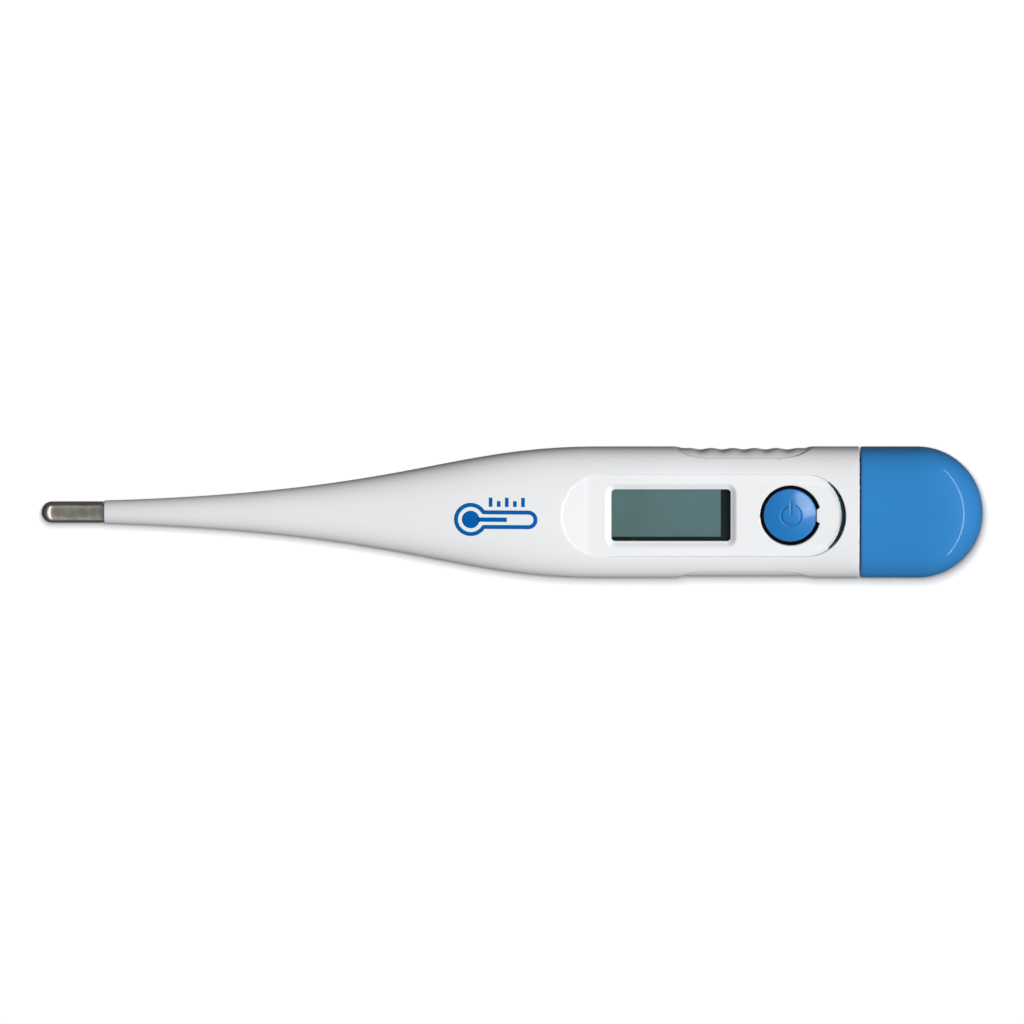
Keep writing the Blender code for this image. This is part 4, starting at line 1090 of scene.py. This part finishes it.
cover_phi = np.linspace(0, math.pi, 73)
outer_rows = swept_half(cover_phi, cover_path(COVER_LOW.x, COVER_EDGE), HALF_WIDTH, HALF_TOP,
                        HALF_TOP * BELLY, COVER_POWER)
bore_rows = swept_half(cover_phi, cover_path(COVER_LOW.x, 0.0), BORE_WIDTH, BORE_HEIGHT, BORE_HEIGHT,
                       SPIGOT_POWER)
mouth_rims = [net(np.stack([outer_rows[end], bore_rows[end]])) for end in (0, -1)]
COVER_BLUE = moulded("cover_blue", paint(49, 130, 195), 0.45, spread=0.04, Coat_Weight=0.3,
                     Coat_Roughness=0.05, Specular_IOR_Level=0.15)
add_piece("end_cover", [net(outer_rows), net(bore_rows), *mouth_rims], COVER_BLUE, "battery_cover",
          ["battery_cover"])

# Studio: a white floor with lights of its own, a long strip light from the cover's end with a weak
# one above, cards that only the steel tip and the key reflect, and the camera overhead.
CAMERA_DISTANCE = 3.0
CAMERA_TILT = math.radians(6.5)
VIEW_WIDTH = 0.1393
FOCAL_LENGTH = 500.0


def white_floor():
    material, shader, place = new_finish("white_floor", 0.8)
    clouds = place.noise(3.0, 2.0)
    feed(shader, "Base Color", clouds.mix((0.93, 0.93, 0.93), (0.95, 0.95, 0.95)))
    return material


FLOOR_REACH = 3.0
floor_mesh = bpy.data.meshes.new("floor")
corners = [(x * FLOOR_REACH, y * FLOOR_REACH, 0) for x, y in ((-1, -1), (1, -1), (1, 1), (-1, 1))]
floor_mesh.from_pydata(corners, [], [(0, 1, 2, 3)])
floor_mesh.materials.append(white_floor())
floor = bpy.data.objects.new("floor", floor_mesh)
floor.visible_diffuse = False
floor.visible_glossy = False
bpy.context.scene.collection.objects.link(floor)

ROOM_LIGHT = 0.11
world = bpy.data.worlds.new("studio")
world.use_nodes = True
background = world.node_tree.nodes["Background"]
background.inputs["Color"].default_value = (1.0, 1.0, 1.0, 1.0)
background.inputs["Strength"].default_value = ROOM_LIGHT
bpy.context.scene.world = world

LIGHT_TARGET = Vector((0.002, 0.0, 0.005))
LIGHT_COLOR = (0.975, 0.985, 1.0)


def add_softbox(name, place, width, height, power, spread=180.0):
    """Area light that faces the body's middle: place and size in metres, power in watts, beam in degrees."""
    light = bpy.data.lights.new(name, "AREA")
    light.spread = math.radians(spread)
    light.shape = "RECTANGLE"
    light.size = width
    light.size_y = height
    light.energy = power
    light.color = LIGHT_COLOR
    softbox = bpy.data.objects.new(name, light)
    softbox.location = place
    softbox.rotation_euler = (LIGHT_TARGET - Vector(place)).to_track_quat("-Z", "Y").to_euler()
    softbox.visible_camera = False
    bpy.context.scene.collection.objects.link(softbox)
    return softbox


def light_link(softbox, receivers, state="INCLUDE"):
    """Makes a softbox light only these objects, or with EXCLUDE all the others."""
    linked = bpy.data.collections.new(softbox.name + "_receivers")
    for place, receiver in enumerate(receivers):
        linked.objects.link(receiver)
        linked.collection_objects[place].light_linking.link_state = state
    softbox.light_linking.receiver_collection = linked


light_link(add_softbox("key_light", (1.1, 0.0, 0.92), 3.2, 0.08, 15.0), [floor, film, bezel], "EXCLUDE")
top_light = add_softbox("top_light", (0.37, -0.01, 0.9), 0.1, 0.1, 0.097, 20.0)
top_light.visible_glossy = False
light_link(top_light, [floor], "EXCLUDE")
light_link(add_softbox("floor_light", (-0.02, 0.19, 0.9), 0.2, 0.2, 6.0), [floor])
light_link(add_softbox("floor_fill", (0.0, 0.16, 1.5), 0.2, 0.2, 9.0), [floor])
light_link(add_softbox("tip_card", (-0.44, 0.0, 0.6), 4.6, 0.45, 14.0), [tip])
light_link(add_softbox("tip_top_card", (-0.05, 0.0, 0.5), 5.0, 5.0, 8.5), [tip])
light_link(add_softbox("tip_side_card", (-0.06, -0.5, 0.06), 0.3, 0.1, 0.05), [tip])
light_link(add_softbox("key_card", (0.36, 0.12, 0.85), 0.5, 0.35, 2.4), [key])

bpy.context.scene.view_settings.view_transform = "Standard"

camera = bpy.data.cameras.new("camera")
camera.sensor_width = FOCAL_LENGTH * VIEW_WIDTH / CAMERA_DISTANCE
camera.lens = FOCAL_LENGTH
camera.clip_start = 0.01
camera_object = bpy.data.objects.new("camera", camera)
line_of_sight = Vector((0, math.sin(CAMERA_TILT), math.cos(CAMERA_TILT)))
camera_object.location = Vector((0, 0, AXIS_Z * MM)) + line_of_sight * CAMERA_DISTANCE
camera_object.rotation_euler = (-CAMERA_TILT, 0.0, 0.0)
bpy.context.scene.collection.objects.link(camera_object)
bpy.context.scene.camera = camera_object
